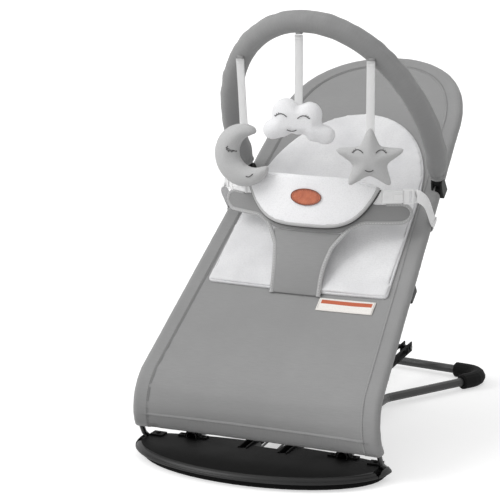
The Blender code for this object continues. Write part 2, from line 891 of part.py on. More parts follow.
def make_recline_catch(body):
    """A squeeze lever on the foot rod, between the rails."""
    foot = rail_point(foot_reach())
    tip = foot + (cross_rod_place() - foot).normalized() * catch_reach
    outline = capsule(foot, tip, catch_hub_radius, catch_tip_radius)
    mesh = side_prism("recline_catch", outline, -catch_half_width, catch_half_width)
    catch = add_piece("recline_catch", mesh, body, BLACK, 0.5)
    soften(catch, 1.5 * MM)
    reach = catch_half_width * 1.5
    cut(catch, round_bar("cut_catch_bore", foot_rod_radius + running_gap, foot, -reach, reach))


# Seat frame

def make_side_wires(body):
    """Each side wire ends in a pin that turns inward inside the base plate."""
    for name, side in SIDES:
        foot = side * (side_width(0) - hem_radius)
        lowest, onward, outward = seat_lines(0)
        knee = lowest - onward * hinge_knee + X_AXIS * foot
        corners = [
            hinge + X_AXIS * (foot - side * hinge_pin_length),
            hinge + X_AXIS * foot,
            knee,
            seat_point(0, foot),
        ]
        path = rounded_path(corners, hinge_bend, math.radians(20))
        path += side_points(hem_radius, side, 0, connector_place)[1:]
        wire = rod("side_wire_" + name, path, wire_radius, 8, Z_AXIS)
        add_piece("side_wire_" + name, wire, body, STEEL_BLACK, 0.35, 1.0)
        low = seat_point(connector_place - connector_length / 2,
                         side * (side_width(connector_place - connector_length / 2) - hem_radius))
        high = seat_point(connector_place + connector_length / 2,
                          side * (side_width(connector_place + connector_length / 2) - hem_radius))
        sleeve = pipe("wire_connector_" + name, [low, high], connector_radius, wire_radius + touch_gap, 12)
        add_piece("wire_connector_" + name, sleeve, body, BLACK, 0.5)


def make_head_arch(body):
    start = connector_place + touch_gap
    path = [seat_point(start, -(side_width(start) - hem_radius))]
    path += arch_points(hem_radius, 14)[::-1]
    path.append(seat_point(start, side_width(start) - hem_radius))
    add_piece("head_arch", rod("head_arch", path, wire_radius, 8, Z_AXIS), body, STEEL_BLACK, 0.35, 1.0)


def make_cross_members(body):
    reach = side_width(0) - hem_radius - wire_radius - 2 * running_gap
    hem_bar = round_bar("hem_bar", hem_bar_radius, seat_point(0), -reach, reach, 10)
    add_piece("hem_bar", hem_bar, body, STEEL_BLACK, 0.35, 1.0)
    distance = cross_rod_distance()
    wire_x = side_width(distance) - hem_radius
    reach = wire_x - 3 * MM
    ends = [cross_rod_place() + X_AXIS * x for x in (-reach, reach)]
    cross_rod = pipe("cross_rod", ends, cross_rod_radius, cross_rod_radius - cross_rod_wall, 16, Z_AXIS)
    add_piece("cross_rod", cross_rod, body, STEEL_BLACK, 0.35, 1.0)
    for name, side in SIDES:
        clip = seat_box(
            "rod_clip_" + name, distance,
            (side * (wire_x - rod_clip_inner), side * (wire_x + rod_clip_outer)),
            rod_clip_length / 2, (-rod_clip_bottom, -2 * running_gap),
        )
        clip = add_piece("rod_clip_" + name, clip, body, BLACK, 0.5)
        soften(clip, 1.2 * MM, 1)
        cut(clip, side_bore("cut_clip_wire_" + name, distance, side, rod_clip_length))
        bore = (0, side * (reach + touch_gap))
        cut(clip, round_bar("cut_clip_rod_" + name, cross_rod_radius + touch_gap, cross_rod_place(), *bore, 16))


def side_bore(name, distance, side, length):
    """A cutter along a side wire, for a clip that grips it."""
    path = []
    for stop in (distance - length, distance + length):
        path.append(seat_point(stop, side * (side_width(stop) - hem_radius)))
    return rod(name, path, wire_radius + running_gap, 12)


# Seat cover

def cover_top(x, distance):
    """How far the cover's upper face is above the wires' plane: it hangs a little in the middle."""
    share = x / rim_half_width(distance, hem_radius)
    return cover_edge_lift - cover_sag * (1 - share * share)


def make_seat_cover(body):
    """A sheet between hems that run round the wires."""
    columns = 7
    rings = []
    for distance in cover_stops():
        width = rim_half_width(distance, hem_radius)
        shares = [2 * column / columns - 1 for column in range(columns + 1)]
        upper = [seat_point(distance, width * share, cover_top(width * share, distance)) for share in shares]
        lower = [seat_point(distance, width * share, cover_top(width * share, distance) - cover_thickness)
                 for share in shares]
        rings.append(upper + lower[::-1])
    cover = add_piece("seat_cover", skin("seat_cover", rings), body, GREY_CLOTH, 0.9)
    overhang = 3 * running_gap
    join(cover, rod("join_rim_hem", rim_path(hem_radius, -overhang, 14), hem_radius, 8, Z_AXIS))
    reach = side_width(0) - hem_radius
    join(cover, round_bar("join_bottom_hem", bottom_hem_radius, seat_point(0), -reach, reach, 12))
    tunnel = hem_radius - hem_wall
    cut(cover, rod("cut_rim_tunnel", rim_path(hem_radius, -4 * hem_radius, 14), tunnel, 8, Z_AXIS))
    cut(cover, round_bar("cut_bottom_tunnel", bottom_hem_radius - hem_wall, seat_point(0), -reach, reach, 8))
    cut_cover_windows(cover)


def cover_stops():
    """Distances of the cover's rows: close where it bends and where the arch closes in."""
    stops = [lower_length * index / 7 for index in range(8)]
    stops += [lower_length + (arch_start - lower_length) * index / 3 for index in range(1, 4)]
    reach = seat_length - hem_radius - arch_start
    stops += [arch_start + reach * math.sin(math.radians(16 * index)) for index in range(1, 6)]
    return stops


def cut_cover_windows(cover):
    """The clips grip the wires through windows in the hem."""
    distance = cross_rod_distance()
    wire_x = side_width(distance) - hem_radius
    for name, side in SIDES:
        window = seat_box(
            "cut_rod_window_" + name, distance,
            (side * (wire_x - rod_clip_inner - running_gap), side * (wire_x + rod_clip_outer + running_gap)),
            rod_clip_length / 2 + running_gap, (-rod_clip_bottom - running_gap, -running_gap),
        )
        cut(cover, window)
        inner = bar_foot_half_width - toy_clip_width / 2 - running_gap
        outer = bar_foot_half_width + toy_clip_width
        window = seat_box(
            "cut_toy_window_" + name, toy_clip_place, (side * inner, side * outer),
            toy_clip_length / 2 + running_gap, (-2 * hem_radius, 2 * hem_radius),
        )
        cut(cover, window)


# Insert and tag

def insert_outline():
    """Half of a horseshoe and its mirror image, as (x, distance) pairs."""
    corner = 4 * MM
    half = [(insert_half_width_bottom * share, insert_start) for share in (0.3, 0.6, 0.8)]
    for turn in (0, 30, 60, 90):
        x = insert_half_width_bottom - corner + corner * math.sin(math.radians(turn))
        half.append((x, insert_start + corner - corner * math.cos(math.radians(turn))))
    for share in (0.35, 0.7):
        x = insert_half_width_bottom + (insert_half_width_top - insert_half_width_bottom) * share
        half.append((x, insert_start + (insert_arch - insert_start) * share))
    for turn in range(0, 90, 9):
        x = insert_half_width_top * math.cos(math.radians(turn))
        half.append((x, insert_arch + (insert_end - insert_arch) * math.sin(math.radians(turn))))
    mirrored = [(-x, distance) for x, distance in half]
    return half + [(0, insert_end)] + mirrored[::-1] + [(0, insert_start)]


def insert_crown(x, distance):
    """1 in the middle of the cushion and 0 along its edge."""
    middle = (insert_start + insert_end) / 2
    half_length = (insert_end - insert_start) / 2
    if distance > insert_arch:
        reach = (distance - insert_arch) / (insert_end - insert_arch)
        edge = 1 - math.hypot(x / insert_half_width_top, reach)
    else:
        edge = 1 - abs(x) / insert_half_width_bottom
    edge = min(edge, 1 - abs(distance - middle) / half_length)
    return 1 - (1 - min(1, max(0, edge) / 0.3)) ** 2


def make_insert(body):
    def under(x, distance):
        return seat_point(distance, x, cover_top(x, distance) + 2 * touch_gap)

    def over(x, distance):
        rise = insert_edge + (insert_thickness - insert_edge) * insert_crown(x, distance)
        return seat_point(distance, x, cover_top(x, distance) + 2 * touch_gap + rise)

    mesh = pillow("seat_insert", insert_outline(), over, under, (1, 0.96, 0.86, 0.66, 0.33))
    add_piece("seat_insert", mesh, body, PALE_CLOTH, 0.9)


def make_tag(body):
    """A plain sewn tag on the cover, below the insert."""
    columns = 6
    rings = []
    for distance in (tag_place - tag_length / 2, tag_place + tag_length / 2):
        xs = [tag_centre_x + tag_width * (column / columns - 0.5) for column in range(columns + 1)]
        low = [seat_point(distance, x, cover_top(x, distance) + touch_gap) for x in xs]
        high = [seat_point(distance, x, cover_top(x, distance) + touch_gap + tag_thickness) for x in xs]
        rings.append(low + high[::-1])
    add_piece("sewn_tag", skin("sewn_tag", rings), body, WHITE, 0.8)


# Harness

def standing_point(x, height, out=0.0):
    """A place on the curved surface that stands in front of the sitter, or out from it."""
    depth = (band_side_y - band_front_y) * (x / band_half_width) ** 2
    lean = band_lean * (height - band_low)
    slope = math.atan2(2 * depth, abs(x)) if x else 0
    outward = Vector((math.copysign(math.sin(slope), x), -math.cos(slope), 0))
    return Vector((x, band_front_y + depth + lean, height)) + outward * out


def ease(value, start, end):
    """0 up to the start, 1 from the end, and smooth in between."""
    share = min(1, max(0, (value - start) / (end - start)))
    return share * share * (3 - 2 * share)


def make_crotch_stem(body):
    """A tapered panel from the seat up to the waist band."""
    rows = 8
    columns = 8
    foot = seat_point(stem_place, 0, cover_top(0, stem_place) + stem_thickness / 2 + touch_gap)
    rings = []
    for row in range(rows + 1):
        share = row / rows
        half = stem_half_width_foot + (stem_half_width_top - stem_half_width_foot) * share ** 3
        front, back = [], []
        for column in range(columns + 1):
            x = half * (2 * column / columns - 1)
            top = standing_point(x, band_low - touch_gap, -band_thickness / 2)
            place = Vector((x, foot.y, foot.z)).lerp(top, share)
            place.y -= 6 * MM * math.sin(math.pi * share)
            front.append(place - Y_AXIS * stem_thickness / 2)
            back.append(place + Y_AXIS * stem_thickness / 2)
        rings.append(front + back[::-1])
    add_piece("crotch_stem", skin("crotch_stem", rings), body, GREY_CLOTH, 0.9)


def band_edges(x):
    """The waist band's lower and upper edge at a distance from the middle."""
    reach = abs(x)
    tip = math.sqrt(max(0, 1 - max(0, (reach - band_half_width * 0.9) / (band_half_width * 0.1)) ** 2))
    low = band_low + (band_wing_low - band_low) * ease(reach, stem_half_width_top * 0.85, band_half_width * 0.6)
    high = bib_high - 8 * MM
    high += (band_wing_high - high) * ease(reach, bib_half_width * 0.6, bib_half_width * 0.95)
    middle = (low + high) / 2
    half = (high - low) / 2 * max(tip, 0.25)
    return middle - half, middle + half


def make_waist_band(body):
    steps = 28
    rings = []
    for step in range(steps + 1):
        x = -band_half_width * math.cos(math.pi * step / steps)
        low, high = band_edges(x)
        middle = (low + high) / 2
        heights = (low, middle, high)
        front = [standing_point(x, height, -touch_gap) for height in heights]
        back = [standing_point(x, height, -band_thickness) for height in heights]
        rings.append(front + back[::-1])
    add_piece("waist_band", skin("waist_band", rings), body, GREY_CLOTH, 0.9)


def bib_edges(x):
    share = min(1, abs(x) / bib_half_width)
    low = bib_corner - (bib_corner - bib_low) * (1 - share ** 3.6)
    high = bib_high - (bib_high - bib_corner) * share ** 4
    return low, max(high, low + 4 * MM)


def bib_front(x, height, out=0.0):
    """A place on the bib's padded front, or out from it."""
    low, high = bib_edges(x)
    across = max(0, 1 - (x / bib_half_width) ** 2)
    upward = (height - low) / (high - low)
    crown = max(0, 4 * upward * (1 - upward)) ** 0.5 * across ** 0.5
    rise = touch_gap + bib_edge + (bib_thickness - bib_edge) * crown
    return standing_point(x, height, rise + out)


def make_bib(body):
    steps = 24
    shares = (0, 0.1, 0.3, 0.5, 0.7, 0.9, 1)
    rings = []
    for step in range(steps + 1):
        x = -bib_half_width * math.cos(math.pi * step / steps)
        low, high = bib_edges(x)
        heights = [low + (high - low) * share for share in shares]
        front = [bib_front(x, height) for height in heights]
        back = [standing_point(x, height, touch_gap) for height in (high, (low + high) / 2, low)]
        rings.append(front + back)
    add_piece("bib_pad", skin("bib_pad", rings), body, WHITE, 0.9)
    outline = []
    for step in range(20):
        turn = 2 * math.pi * step / 20
        outline.append((patch_half_width * math.cos(turn), patch_height + patch_half_height * math.sin(turn)))
    patch = pillow(
        "leather_patch", outline,
        lambda x, height: bib_front(x, height, 2 * touch_gap + patch_thickness),
        lambda x, height: bib_front(x, height, 2 * touch_gap), (1, 0.5),
    )
    add_piece("leather_patch", patch, body, LEATHER, 0.6)


def buckle_turn(side):
    """Buckles lie along the standing surface."""
    slope = math.atan2(2 * (band_side_y - band_front_y) * buckle_centre_x, band_half_width ** 2)
    return Matrix.Rotation(side * slope, 3, "Z")


def buckle_place(side):
    return standing_point(side * buckle_centre_x, buckle_centre_z)


def buckle_out(side):
    """The way out of a buckle's front face."""
    return buckle_turn(side) @ Vector((0, -1, 0))


def make_buckles(body, button_bodies):
    pocket = 2 * touch_gap
    for name, side in SIDES:
        turn = buckle_turn(side)
        size = (buckle_length, buckle_depth, buckle_height)
        housing = add_piece("buckle_" + name, box("buckle_" + name, size, buckle_place(side), turn),
                            body, WHITE, 0.35)
        soften(housing, 2 * MM)
        depth = button_depth + button_travel
        face = buckle_place(side) + buckle_out(side) * buckle_depth / 2
        well = box("cut_button_well_" + name,
                   (button_length + 2 * pocket, 2 * depth, button_height + 2 * pocket), face, turn)
        cut(housing, well)
        centre = face - buckle_out(side) * (button_depth / 2 - 1 * MM)
        button = box("buckle_button_" + name, (button_length, button_depth, button_height), centre, turn)
        soften(add_piece("buckle_button_" + name, button, button_bodies[side], WHITE, 0.3), 0.8 * MM)


def make_harness_straps(body):
    """Webbing from each buckle over the side of the seat and back under it."""
    for name, side in SIDES:
        place, onward, outward = seat_lines(strap_place)
        hem_x = side_width(strap_place) - hem_radius
        wrap = hem_radius + webbing_thickness / 2 + 4 * running_gap
        away = buckle_turn(side) @ Vector((side, 0, 0))
        top = buckle_place(side) + away * (buckle_length / 2 + touch_gap)
        path = [top, top + away * 2 * MM, top + away * 7 * MM, top + Vector((side * 15, 15, -12)) * MM]
        turns = (35, 10, -20, -50, -80)
        for turn in turns:
            angle = math.radians(turn)
            path.append(seat_point(strap_place, side * (hem_x + wrap * math.cos(angle)), wrap * math.sin(angle)))
        path.append(seat_point(strap_place, side * (hem_x - strap_tail / 2), -wrap))
        path.append(seat_point(strap_place, side * (hem_x - strap_tail), -wrap))
        path = smooth_path(path, 3)
        rings = []
        for index, point in enumerate(path):
            ahead = (path[min(index + 1, len(path) - 1)] - path[max(index - 1, 0)]).normalized()
            twist = ease(index / len(path), 0, 0.35)
            width = Z_AXIS.lerp(onward, twist)
            width = (width - ahead * width.dot(ahead)).normalized() * webbing_width / 2
            flat = ahead.cross(width).normalized() * webbing_thickness / 2
            rings.append([point + width + flat, point + width - flat,
                          point - width - flat, point - width + flat])
        mesh = skin("harness_strap_" + name, rings)
        add_piece("harness_strap_" + name, mesh, body, WHITE, 0.8)


# Toy bar

bar_upward = Vector((0, -math.sin(bar_lean), math.cos(bar_lean)))


def bar_pivot():
    """The middle of the toy bar's tilt axis."""
    return seat_point(toy_clip_place) + bar_upward * bar_pivot_lift


def bar_path(start, count=20):
    """From the right foot over the top to the left foot, from a start above the pivot."""
    points = []
    half = []
    for height in (start, start + 14 * MM, start + 24 * MM):
        share = height / bar_straight
        half.append((bar_foot_half_width + (bar_half_width - bar_foot_half_width) * share, height))
    for step in range(count + 1):
        turn = math.pi * step / count
        height = bar_straight + (bar_height - bar_straight) * math.sin(turn)
        points.append((bar_half_width * math.cos(turn), height))
    flat = half + points + [(-x, height) for x, height in half[::-1]]
    return [bar_pivot() + X_AXIS * x + bar_upward * height for x, height in flat]


def make_toy_clips(body):
    """A clip on each side wire, with a fork for the toy bar's foot."""
    pivot = bar_pivot()
    place, onward, outward = seat_lines(toy_clip_place)
    half = toy_clip_width / 2
    for name, side in SIDES:
        middle = side * bar_foot_half_width
        outline = [
            place - onward * toy_clip_length / 2 - outward * toy_clip_bottom,
            place + onward * toy_clip_length / 2 - outward * toy_clip_bottom,
            place + onward * toy_clip_length / 2 + outward * toy_clip_bottom * 0.8,
        ]
        for step in range(9):
            turn = math.radians(10 + 160 * step / 8)
            radius = toy_clip_length / 2 - 2 * MM
            outline.append(pivot + onward * radius * math.cos(turn) + outward * radius * math.sin(turn))
        outline.append(place - onward * toy_clip_length / 2 + outward * toy_clip_bottom * 0.8)
        mesh = side_prism("toy_clip_" + name, outline, middle - half, middle + half)
        clip = add_piece("toy_clip_" + name, mesh, body, BLACK, 0.4)
        soften(clip, 1 * MM, 1)
        cut(clip, side_bore("cut_toy_clip_wire_" + name, toy_clip_place, side, toy_clip_length))
        slot = seat_box(
            "cut_toy_clip_slot_" + name, toy_clip_place,
            (middle - toy_clip_slot / 2, middle + toy_clip_slot / 2),
            toy_clip_length, (toy_clip_slot_floor, 4 * toy_clip_slot_floor),
        )
        cut(clip, slot)
        inner = middle - half + 1 * MM
        join(clip, round_bar("pivot_pin_" + name, pivot_pin_radius, pivot, inner, inner + 2 * half - 2 * MM))


def make_toy_bar(body):
    pivot = bar_pivot()
    tube_start = bar_sleeve_start + 4 * MM
    path = bar_path(tube_start)
    tube = pipe("toy_bar_tube", path, bar_tube_radius, bar_tube_radius - bar_tube_wall, 8)
    add_piece("toy_bar_tube", tube, body, STEEL_BLACK, 0.4, 1.0)
    path = bar_path(bar_sleeve_start)
    count = len(path)
    radii = [bar_sleeve_radius] * count
    bores = [bar_tube_radius + running_gap] * count
    tapers = (bar_sleeve_foot_radius, bar_sleeve_foot_radius + 3.5 * MM, bar_sleeve_radius - 0.5 * MM)
    collar = bar_plug_collar + running_gap
    for index, value in enumerate(tapers):
        radii[index] = radii[-1 - index] = value
    for index, value in enumerate((collar, collar, collar - 1 * MM)):
        bores[index] = bores[-1 - index] = value
    sleeve = pipe("toy_bar_sleeve", path, radii, bores, 12)
    sleeve = add_piece("toy_bar_sleeve", sleeve, body, GREY_CLOTH, 0.9)
    for name in TOYS:
        join(sleeve, toy_tab(name))
    half = toy_clip_slot / 2 - running_gap
    for name, side in SIDES:
        middle = side * bar_foot_half_width
        tongue_radius = 6 * MM
        outline = capsule(pivot, pivot + bar_upward * bar_plug_top / 2, tongue_radius, tongue_radius)
        tongue = side_prism("toy_bar_plug_" + name, outline, middle - half, middle + half)
        plug = add_piece("toy_bar_plug_" + name, tongue, body, BLACK, 0.45)
        foot = pivot + X_AXIS * middle
        lean = X_AXIS * side * (bar_half_width - bar_foot_half_width) / bar_straight
        collar_ends = [foot + (bar_upward + lean) * height for height in (bar_sleeve_start, bar_plug_top)]
        join(plug, rod("join_collar_" + name, collar_ends, bar_plug_collar - 1 * MM, 14))
        bore_ends = [foot + (bar_upward + lean) * height
                     for height in (tube_start - touch_gap, bar_plug_top * 1.2)]
        cut(plug, rod("cut_plug_bore_" + name, bore_ends, bar_tube_radius + running_gap, 14))
        through = (middle - toy_clip_width, middle + toy_clip_width)
        cut(plug, round_bar("cut_plug_pin_" + name, pivot_pin_radius + running_gap, pivot, *through))


# Toys

def bar_place(x):
    """The toy bar's middle line above a given x."""
    rise = (bar_height - bar_straight) * math.sqrt(1 - (x / bar_half_width) ** 2)
    return bar_pivot() + X_AXIS * x + bar_upward * (bar_straight + rise)


def bar_outward(x, hang):
    """A way out of the bar: straight out of its front, turned towards the arch's inside."""
    step = 1 * MM
    tangent = (bar_place(x + step) - bar_place(x - step)).normalized()
    front = X_AXIS.cross(bar_upward)
    inward = tangent * tangent.dot(bar_upward) - bar_upward
    return front * math.cos(hang) + inward.normalized() * math.sin(hang)


def toy_place(name):
    """How far across the bar a toy hangs, and which way its tab stands out."""
    x, hang = {"star": (star_x, star_hang), "cloud": (cloud_x, cloud_hang), "moon": (moon_x, moon_hang)}[name]
    return x, bar_outward(x, hang)


def toy_hinge(name):
    """The axis that a toy's ribbon swings on, just off the sleeve."""
    x, outward = toy_place(name)
    return bar_place(x) + outward * (bar_sleeve_radius + toy_tab_drop)


def toy_tab(name):
    """A small tab on the sleeve, which a toy's ribbon hangs from."""
    x, outward = toy_place(name)
    tip = toy_hinge(name) - outward * 3 * running_gap
    root = bar_place(x) + outward * bar_sleeve_radius * 0.7
    across = (X_AXIS - outward * outward.x).normalized()
    turn = Matrix((across, outward, across.cross(outward))).transposed()
    size = (toy_tab_width, (tip - root).length, toy_tab_thickness)
    return box(name + "_tab", size, (tip + root) / 2, turn)


def make_ribbon(name, body):
    top = toy_hinge(name)
    low = top - Z_AXIS * ribbon_length
    across = X_AXIS * ribbon_width / 2 + Y_AXIS * ribbon_thickness / 2
    ribbon = span_box(name + "_ribbon", top - across, low + across)
    add_piece(name + "_ribbon", ribbon, body, WHITE, 0.8)
    return low - Z_AXIS * touch_gap


def edge_distance(u, v, outline):
    """The distance from a flat point to the nearest side of an outline."""
    best = math.inf
    for (ua, va), (ub, vb) in zip(outline, outline[1:] + outline[:1]):
        du, dv = ub - ua, vb - va
        share = ((u - ua) * du + (v - va) * dv) / (du * du + dv * dv)
        share = min(1, max(0, share))
        best = min(best, math.hypot(u - ua - du * share, v - va - dv * share))
    return best


def stuffed(name, outline, centre, yaw):
    """A stuffed form over a flat outline: thin at the seam and full in the middle."""
    turn = Matrix.Rotation(yaw, 3, "Z")
    full = toy_half_thickness * 1.3

    def swell(u, v):
        depth = min(1, edge_distance(u, v, outline) / full)
        return toy_seam / 2 + (toy_half_thickness - toy_seam / 2) * math.sqrt(1 - (1 - depth) ** 2)

    return pillow(
        name, outline,
        lambda u, v: centre + turn @ Vector((u, -swell(u, v), v)),
        lambda u, v: centre + turn @ Vector((u, swell(u, v), v)),
        (1, 0.88, 0.65, 0.35),
    )


def star_outline():
    """Five round points; the curve between a tip and a notch is a smooth wave."""
    points = []
    count = 40
    for step in range(count):
        turn = 2 * math.pi * step / count
        wave = (1 + math.cos(5 * turn)) / 2
        radius = star_inner_radius + (star_radius - star_inner_radius) * wave ** 1.35
        points.append((radius * math.sin(turn), radius * math.cos(turn) * star_squash))
    return points


def cloud_outline():
    """Two lobes on top, a lower one at each end and a nearly flat bottom."""
    lobes = (
        (-0.36, -0.11, 0.14), (0.36, -0.18, 0.13), (-0.15, 0.07, 0.2), (0.14, 0.05, 0.19),
        (-0.2, -0.12, 0.15), (0.2, -0.16, 0.14), (0, -0.12, 0.17),
    )
    points = []
    count = 44
    for step in range(count):
        turn = 2 * math.pi * step / count
        u, v = math.sin(turn), math.cos(turn)
        reach = 0.0
        for lobe_u, lobe_v, radius in lobes:
            along = lobe_u * u + lobe_v * v
            inside = radius ** 2 - (lobe_u ** 2 + lobe_v ** 2 - along ** 2)
            if inside > 0:
                reach = max(reach, along + math.sqrt(inside))
        points.append((reach * u * cloud_width, reach * v * cloud_width))
    return points


def moon_mesh(name, centre):
    """A crescent: a bent form, full in its middle, with round ends."""
    turn = Matrix.Rotation(moon_yaw, 3, "Z")
    steps = 24
    sides = 10
    rings = []
    for step in range(steps + 1):
        share = 2 * step / steps - 1
        angle = moon_spread * share
        along = -moon_hollow_shift * math.cos(angle)
        inner = along + math.sqrt(moon_hollow_radius ** 2 - (moon_hollow_shift ** 2 - along ** 2))
        close = math.sqrt(1 - 0.96 * max(0, (abs(share) - 0.88) / 0.12) ** 2)
        half = (moon_radius - inner) / 2 * close
        depth = min(toy_half_thickness, (moon_radius - inner) / 2) * close
        middle = (inner + moon_radius) / 2
        angle += math.pi + moon_tilt
        ring = []
        for index in range(sides):
            spin = 2 * math.pi * index / sides
            reach = middle + half * math.cos(spin)
            spot = Vector((reach * math.cos(angle), depth * math.sin(spin), reach * math.sin(angle)))
            ring.append(centre + turn @ spot)
        rings.append(ring)
    return skin(name, rings)


def make_toys(toy_bodies):
    ends = {name: make_ribbon(name, toy_bodies[name]) for name in TOYS}
    outline = star_outline()
    centre = ends["star"] - Z_AXIS * (star_radius * star_squash + touch_gap)
    add_piece("star_toy", stuffed("star_toy", outline, centre, star_yaw), toy_bodies["star"], MID_GREY, 0.95)
    outline = cloud_outline()
    crest = max(v for u, v in outline if abs(u) < ribbon_width)
    centre = ends["cloud"] - Z_AXIS * (crest + touch_gap)
    add_piece("cloud_toy", stuffed("cloud_toy", outline, centre, cloud_yaw), toy_bodies["cloud"], PALE_CLOTH, 0.95)
    centre = ends["moon"] - Z_AXIS * (moon_radius + touch_gap)
    add_piece("moon_toy", moon_mesh("moon_toy", centre), toy_bodies["moon"], MID_GREY, 0.95)


def build():
    clear_scene()
    base = make_body("base", Vector((0, 0, 0)))
    rails = make_body("rails", hinge, base)
    seat = make_body("seat", hinge, rails)
    stay = make_body("stay", cross_rod_place(), seat)
    catch = make_body("catch", rail_point(foot_reach()), stay)
    toy_bar = make_body("toy_bar", bar_pivot(), seat)
    toys = {name: make_body(name, toy_hinge(name), toy_bar) for name in TOYS}
    buttons = {side: make_body("button_" + name, buckle_place(side), seat) for name, side in SIDES}
    make_base(base)
    make_pin_caps(base)
    make_tube_straps(base)
    make_floor_frame(base)
    make_rail_pin(base)
    make_rails(rails)
    make_bounce_spring(rails)
    make_stay(stay)
    make_recline_catch(catch)
    make_side_wires(seat)
    make_head_arch(seat)
    make_cross_members(seat)
    make_seat_cover(seat)
    make_insert(seat)
    make_tag(seat)
    make_crotch_stem(seat)
    make_waist_band(seat)
    make_bib(seat)
    make_buckles(seat, buttons)
    make_harness_straps(seat)
    make_toy_clips(seat)
    make_toy_bar(toy_bar)
    make_toys(toys)


build()
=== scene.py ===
"""Looks of the baby bouncer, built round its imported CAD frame.

Metres, +Z up, in the frame of the CAD: the origin is on the floor under the seat's
hinge, -Y is the foot end and +Y the head end.
"""
import math

import bmesh
import bpy
from mathutils import Matrix, Vector, noise
from mathutils.bvhtree import BVHTree


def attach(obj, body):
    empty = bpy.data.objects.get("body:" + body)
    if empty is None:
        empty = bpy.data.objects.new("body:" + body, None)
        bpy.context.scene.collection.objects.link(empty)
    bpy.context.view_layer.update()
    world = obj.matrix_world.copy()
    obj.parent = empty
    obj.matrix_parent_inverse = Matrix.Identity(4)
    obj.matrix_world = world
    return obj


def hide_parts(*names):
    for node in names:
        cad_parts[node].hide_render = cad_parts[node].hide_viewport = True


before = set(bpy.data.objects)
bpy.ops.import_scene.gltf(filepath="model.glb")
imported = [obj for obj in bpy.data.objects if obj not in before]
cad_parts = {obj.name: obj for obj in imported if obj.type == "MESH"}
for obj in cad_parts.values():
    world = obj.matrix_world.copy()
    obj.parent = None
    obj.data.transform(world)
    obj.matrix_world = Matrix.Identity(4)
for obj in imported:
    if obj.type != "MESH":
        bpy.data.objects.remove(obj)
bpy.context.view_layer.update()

MM = 0.001
X_AXIS = Vector((1, 0, 0))
Y_AXIS = Vector((0, 1, 0))
Z_AXIS = Vector((0, 0, 1))
SIDES = (("left", -1), ("right", 1))

# Camera, fitted to the photograph
camera_azimuth = math.radians(24)
camera_elevation = math.radians(12.57)
camera_aim = Vector((0, 0.25, 0.22))
camera_distance = 3.4124
camera_slide = -0.1210
camera_rise = 0.0486
camera_lens = 158.4
camera_sensor = 36

# Light and floor; each lamp is its place, the angle of its disc in degrees and its power
lamps = {
    "key": ((-2.3, -1.5, 2.7), 40, 1.4),
    "front": ((-0.6, -2.9, 1.0), 60, 0.4),
    "top": ((0.2, 0.5, 3.2), 80, 0.3),
}
lamp_aim = Vector((0, 0.25, 0.25))
sky_strength = 0.6
floor_half_width = 30
floor_glow = 0.52

# Seat seen from the side, the same sizes as in the CAD source
hinge = Vector((0, 6 * MM, 14 * MM))
seat_angle = math.radians(36.7)
seat_lift = 100.7 * MM
seat_start = 57.5 * MM
lower_bend_radius = 62 * MM
lower_bend_angle = math.radians(84.5)
back_length = 544.9 * MM
head_bend_radius = 500 * MM
head_length = 151 * MM
seat_half_width_bottom = 198 * MM
seat_half_width_top = 154 * MM
arch_before_bend = 25.5 * MM
hem_inset = 8.6 * MM
side_step = 6 * MM
cover_edge_lift = 7 * MM
cover_sag = 4 * MM

# Base plate and the slots in it
plate_half_width = 201 * MM
plate_front_depth = 122 * MM
plate_back_depth = 41 * MM
pad_height = 5 * MM
plate_top = 20 * MM
plate_lip_inset = 8 * MM
plate_lip_top = 10 * MM
plate_rim_width = 9 * MM
plate_ring_points = 160
wire_radius = 4 * MM
running_gap = 0.5 * MM
pin_reach = 22.5 * MM
rail_half_gap = 32 * MM
rail_slot = 17 * MM
rail_slot_front = 11 * MM
rail_pin_reach = 53.5 * MM
rail_pin_radius = 3 * MM
spring_notch_half_width = 20.2 * MM
spring_notch_front = 6.5 * MM
spring_notch_floor = 8 * MM
floor_tube_half_gap = 121 * MM
floor_tube_front = 8 * MM
floor_tube_lift = 22 * MM
floor_tube_radius = 8.5 * MM

# Seat cover
sheet_thickness = 1.4 * MM
rim_hem_radius = 8.3 * MM
rim_hem_reach = 19 * MM
foot_hem_radius = 6.3 * MM
foot_hem_reach = 22 * MM
hem_start = -1.5 * MM
stitch_pitch = 4.2 * MM
stitch_length = 2.9 * MM
stitch_radius = 0.45 * MM
seam_lift = 1.3 * MM

# Insert and tag
insert_start = 258.8 * MM
insert_arch = 446.8 * MM
insert_end = 630.8 * MM
insert_half_width_bottom = 145 * MM
insert_half_width_top = 136 * MM
insert_fill = 7 * MM
insert_edge_inset = 1.5 * MM
insert_edge_lift = 1.8 * MM
insert_lift = 0.5 * MM
insert_most = 15 * MM
tag_centre_x = 86 * MM
tag_place = 238.8 * MM
tag_width = 90 * MM
tag_left = tag_centre_x - tag_width / 2
tag_length = 24 * MM
tag_thickness = 0.6 * MM

# Harness
band_front_y = 158 * MM
band_side_y = 203 * MM
band_half_width = 150 * MM
wing_straight = band_half_width * 0.9
wing_round = band_half_width * 0.1
band_lean = 0.15
band_low = 317 * MM
band_wing_low = 334 * MM
band_wing_high = 361 * MM
band_thickness = 4 * MM
band_edge = 2 * MM
stem_place = 251.8 * MM
stem_half_width_foot = 38 * MM
stem_half_width_top = 57 * MM
stem_thickness = 4 * MM
stem_edge = 2.4 * MM
stem_sag = 6 * MM
bib_half_width = 106 * MM
bib_low = 326 * MM
bib_corner = 386 * MM
bib_high = 400 * MM
bib_gap = 0.8 * MM
bib_fill = 6.5 * MM
bib_least = 0.6 * MM
bib_most = 11.5 * MM
bib_binding_rise = 1.8 * MM
bib_binding_lift = 4.2 * MM
# Where the dark cord lies that paints the shadow under the bib's binding
bib_shadow_cord_drop = 2.2 * MM
bib_shadow_cord_lift = 2.6 * MM
patch_half_width = 24 * MM
patch_half_height = 12 * MM
patch_height = 370 * MM
webbing_width = 20 * MM
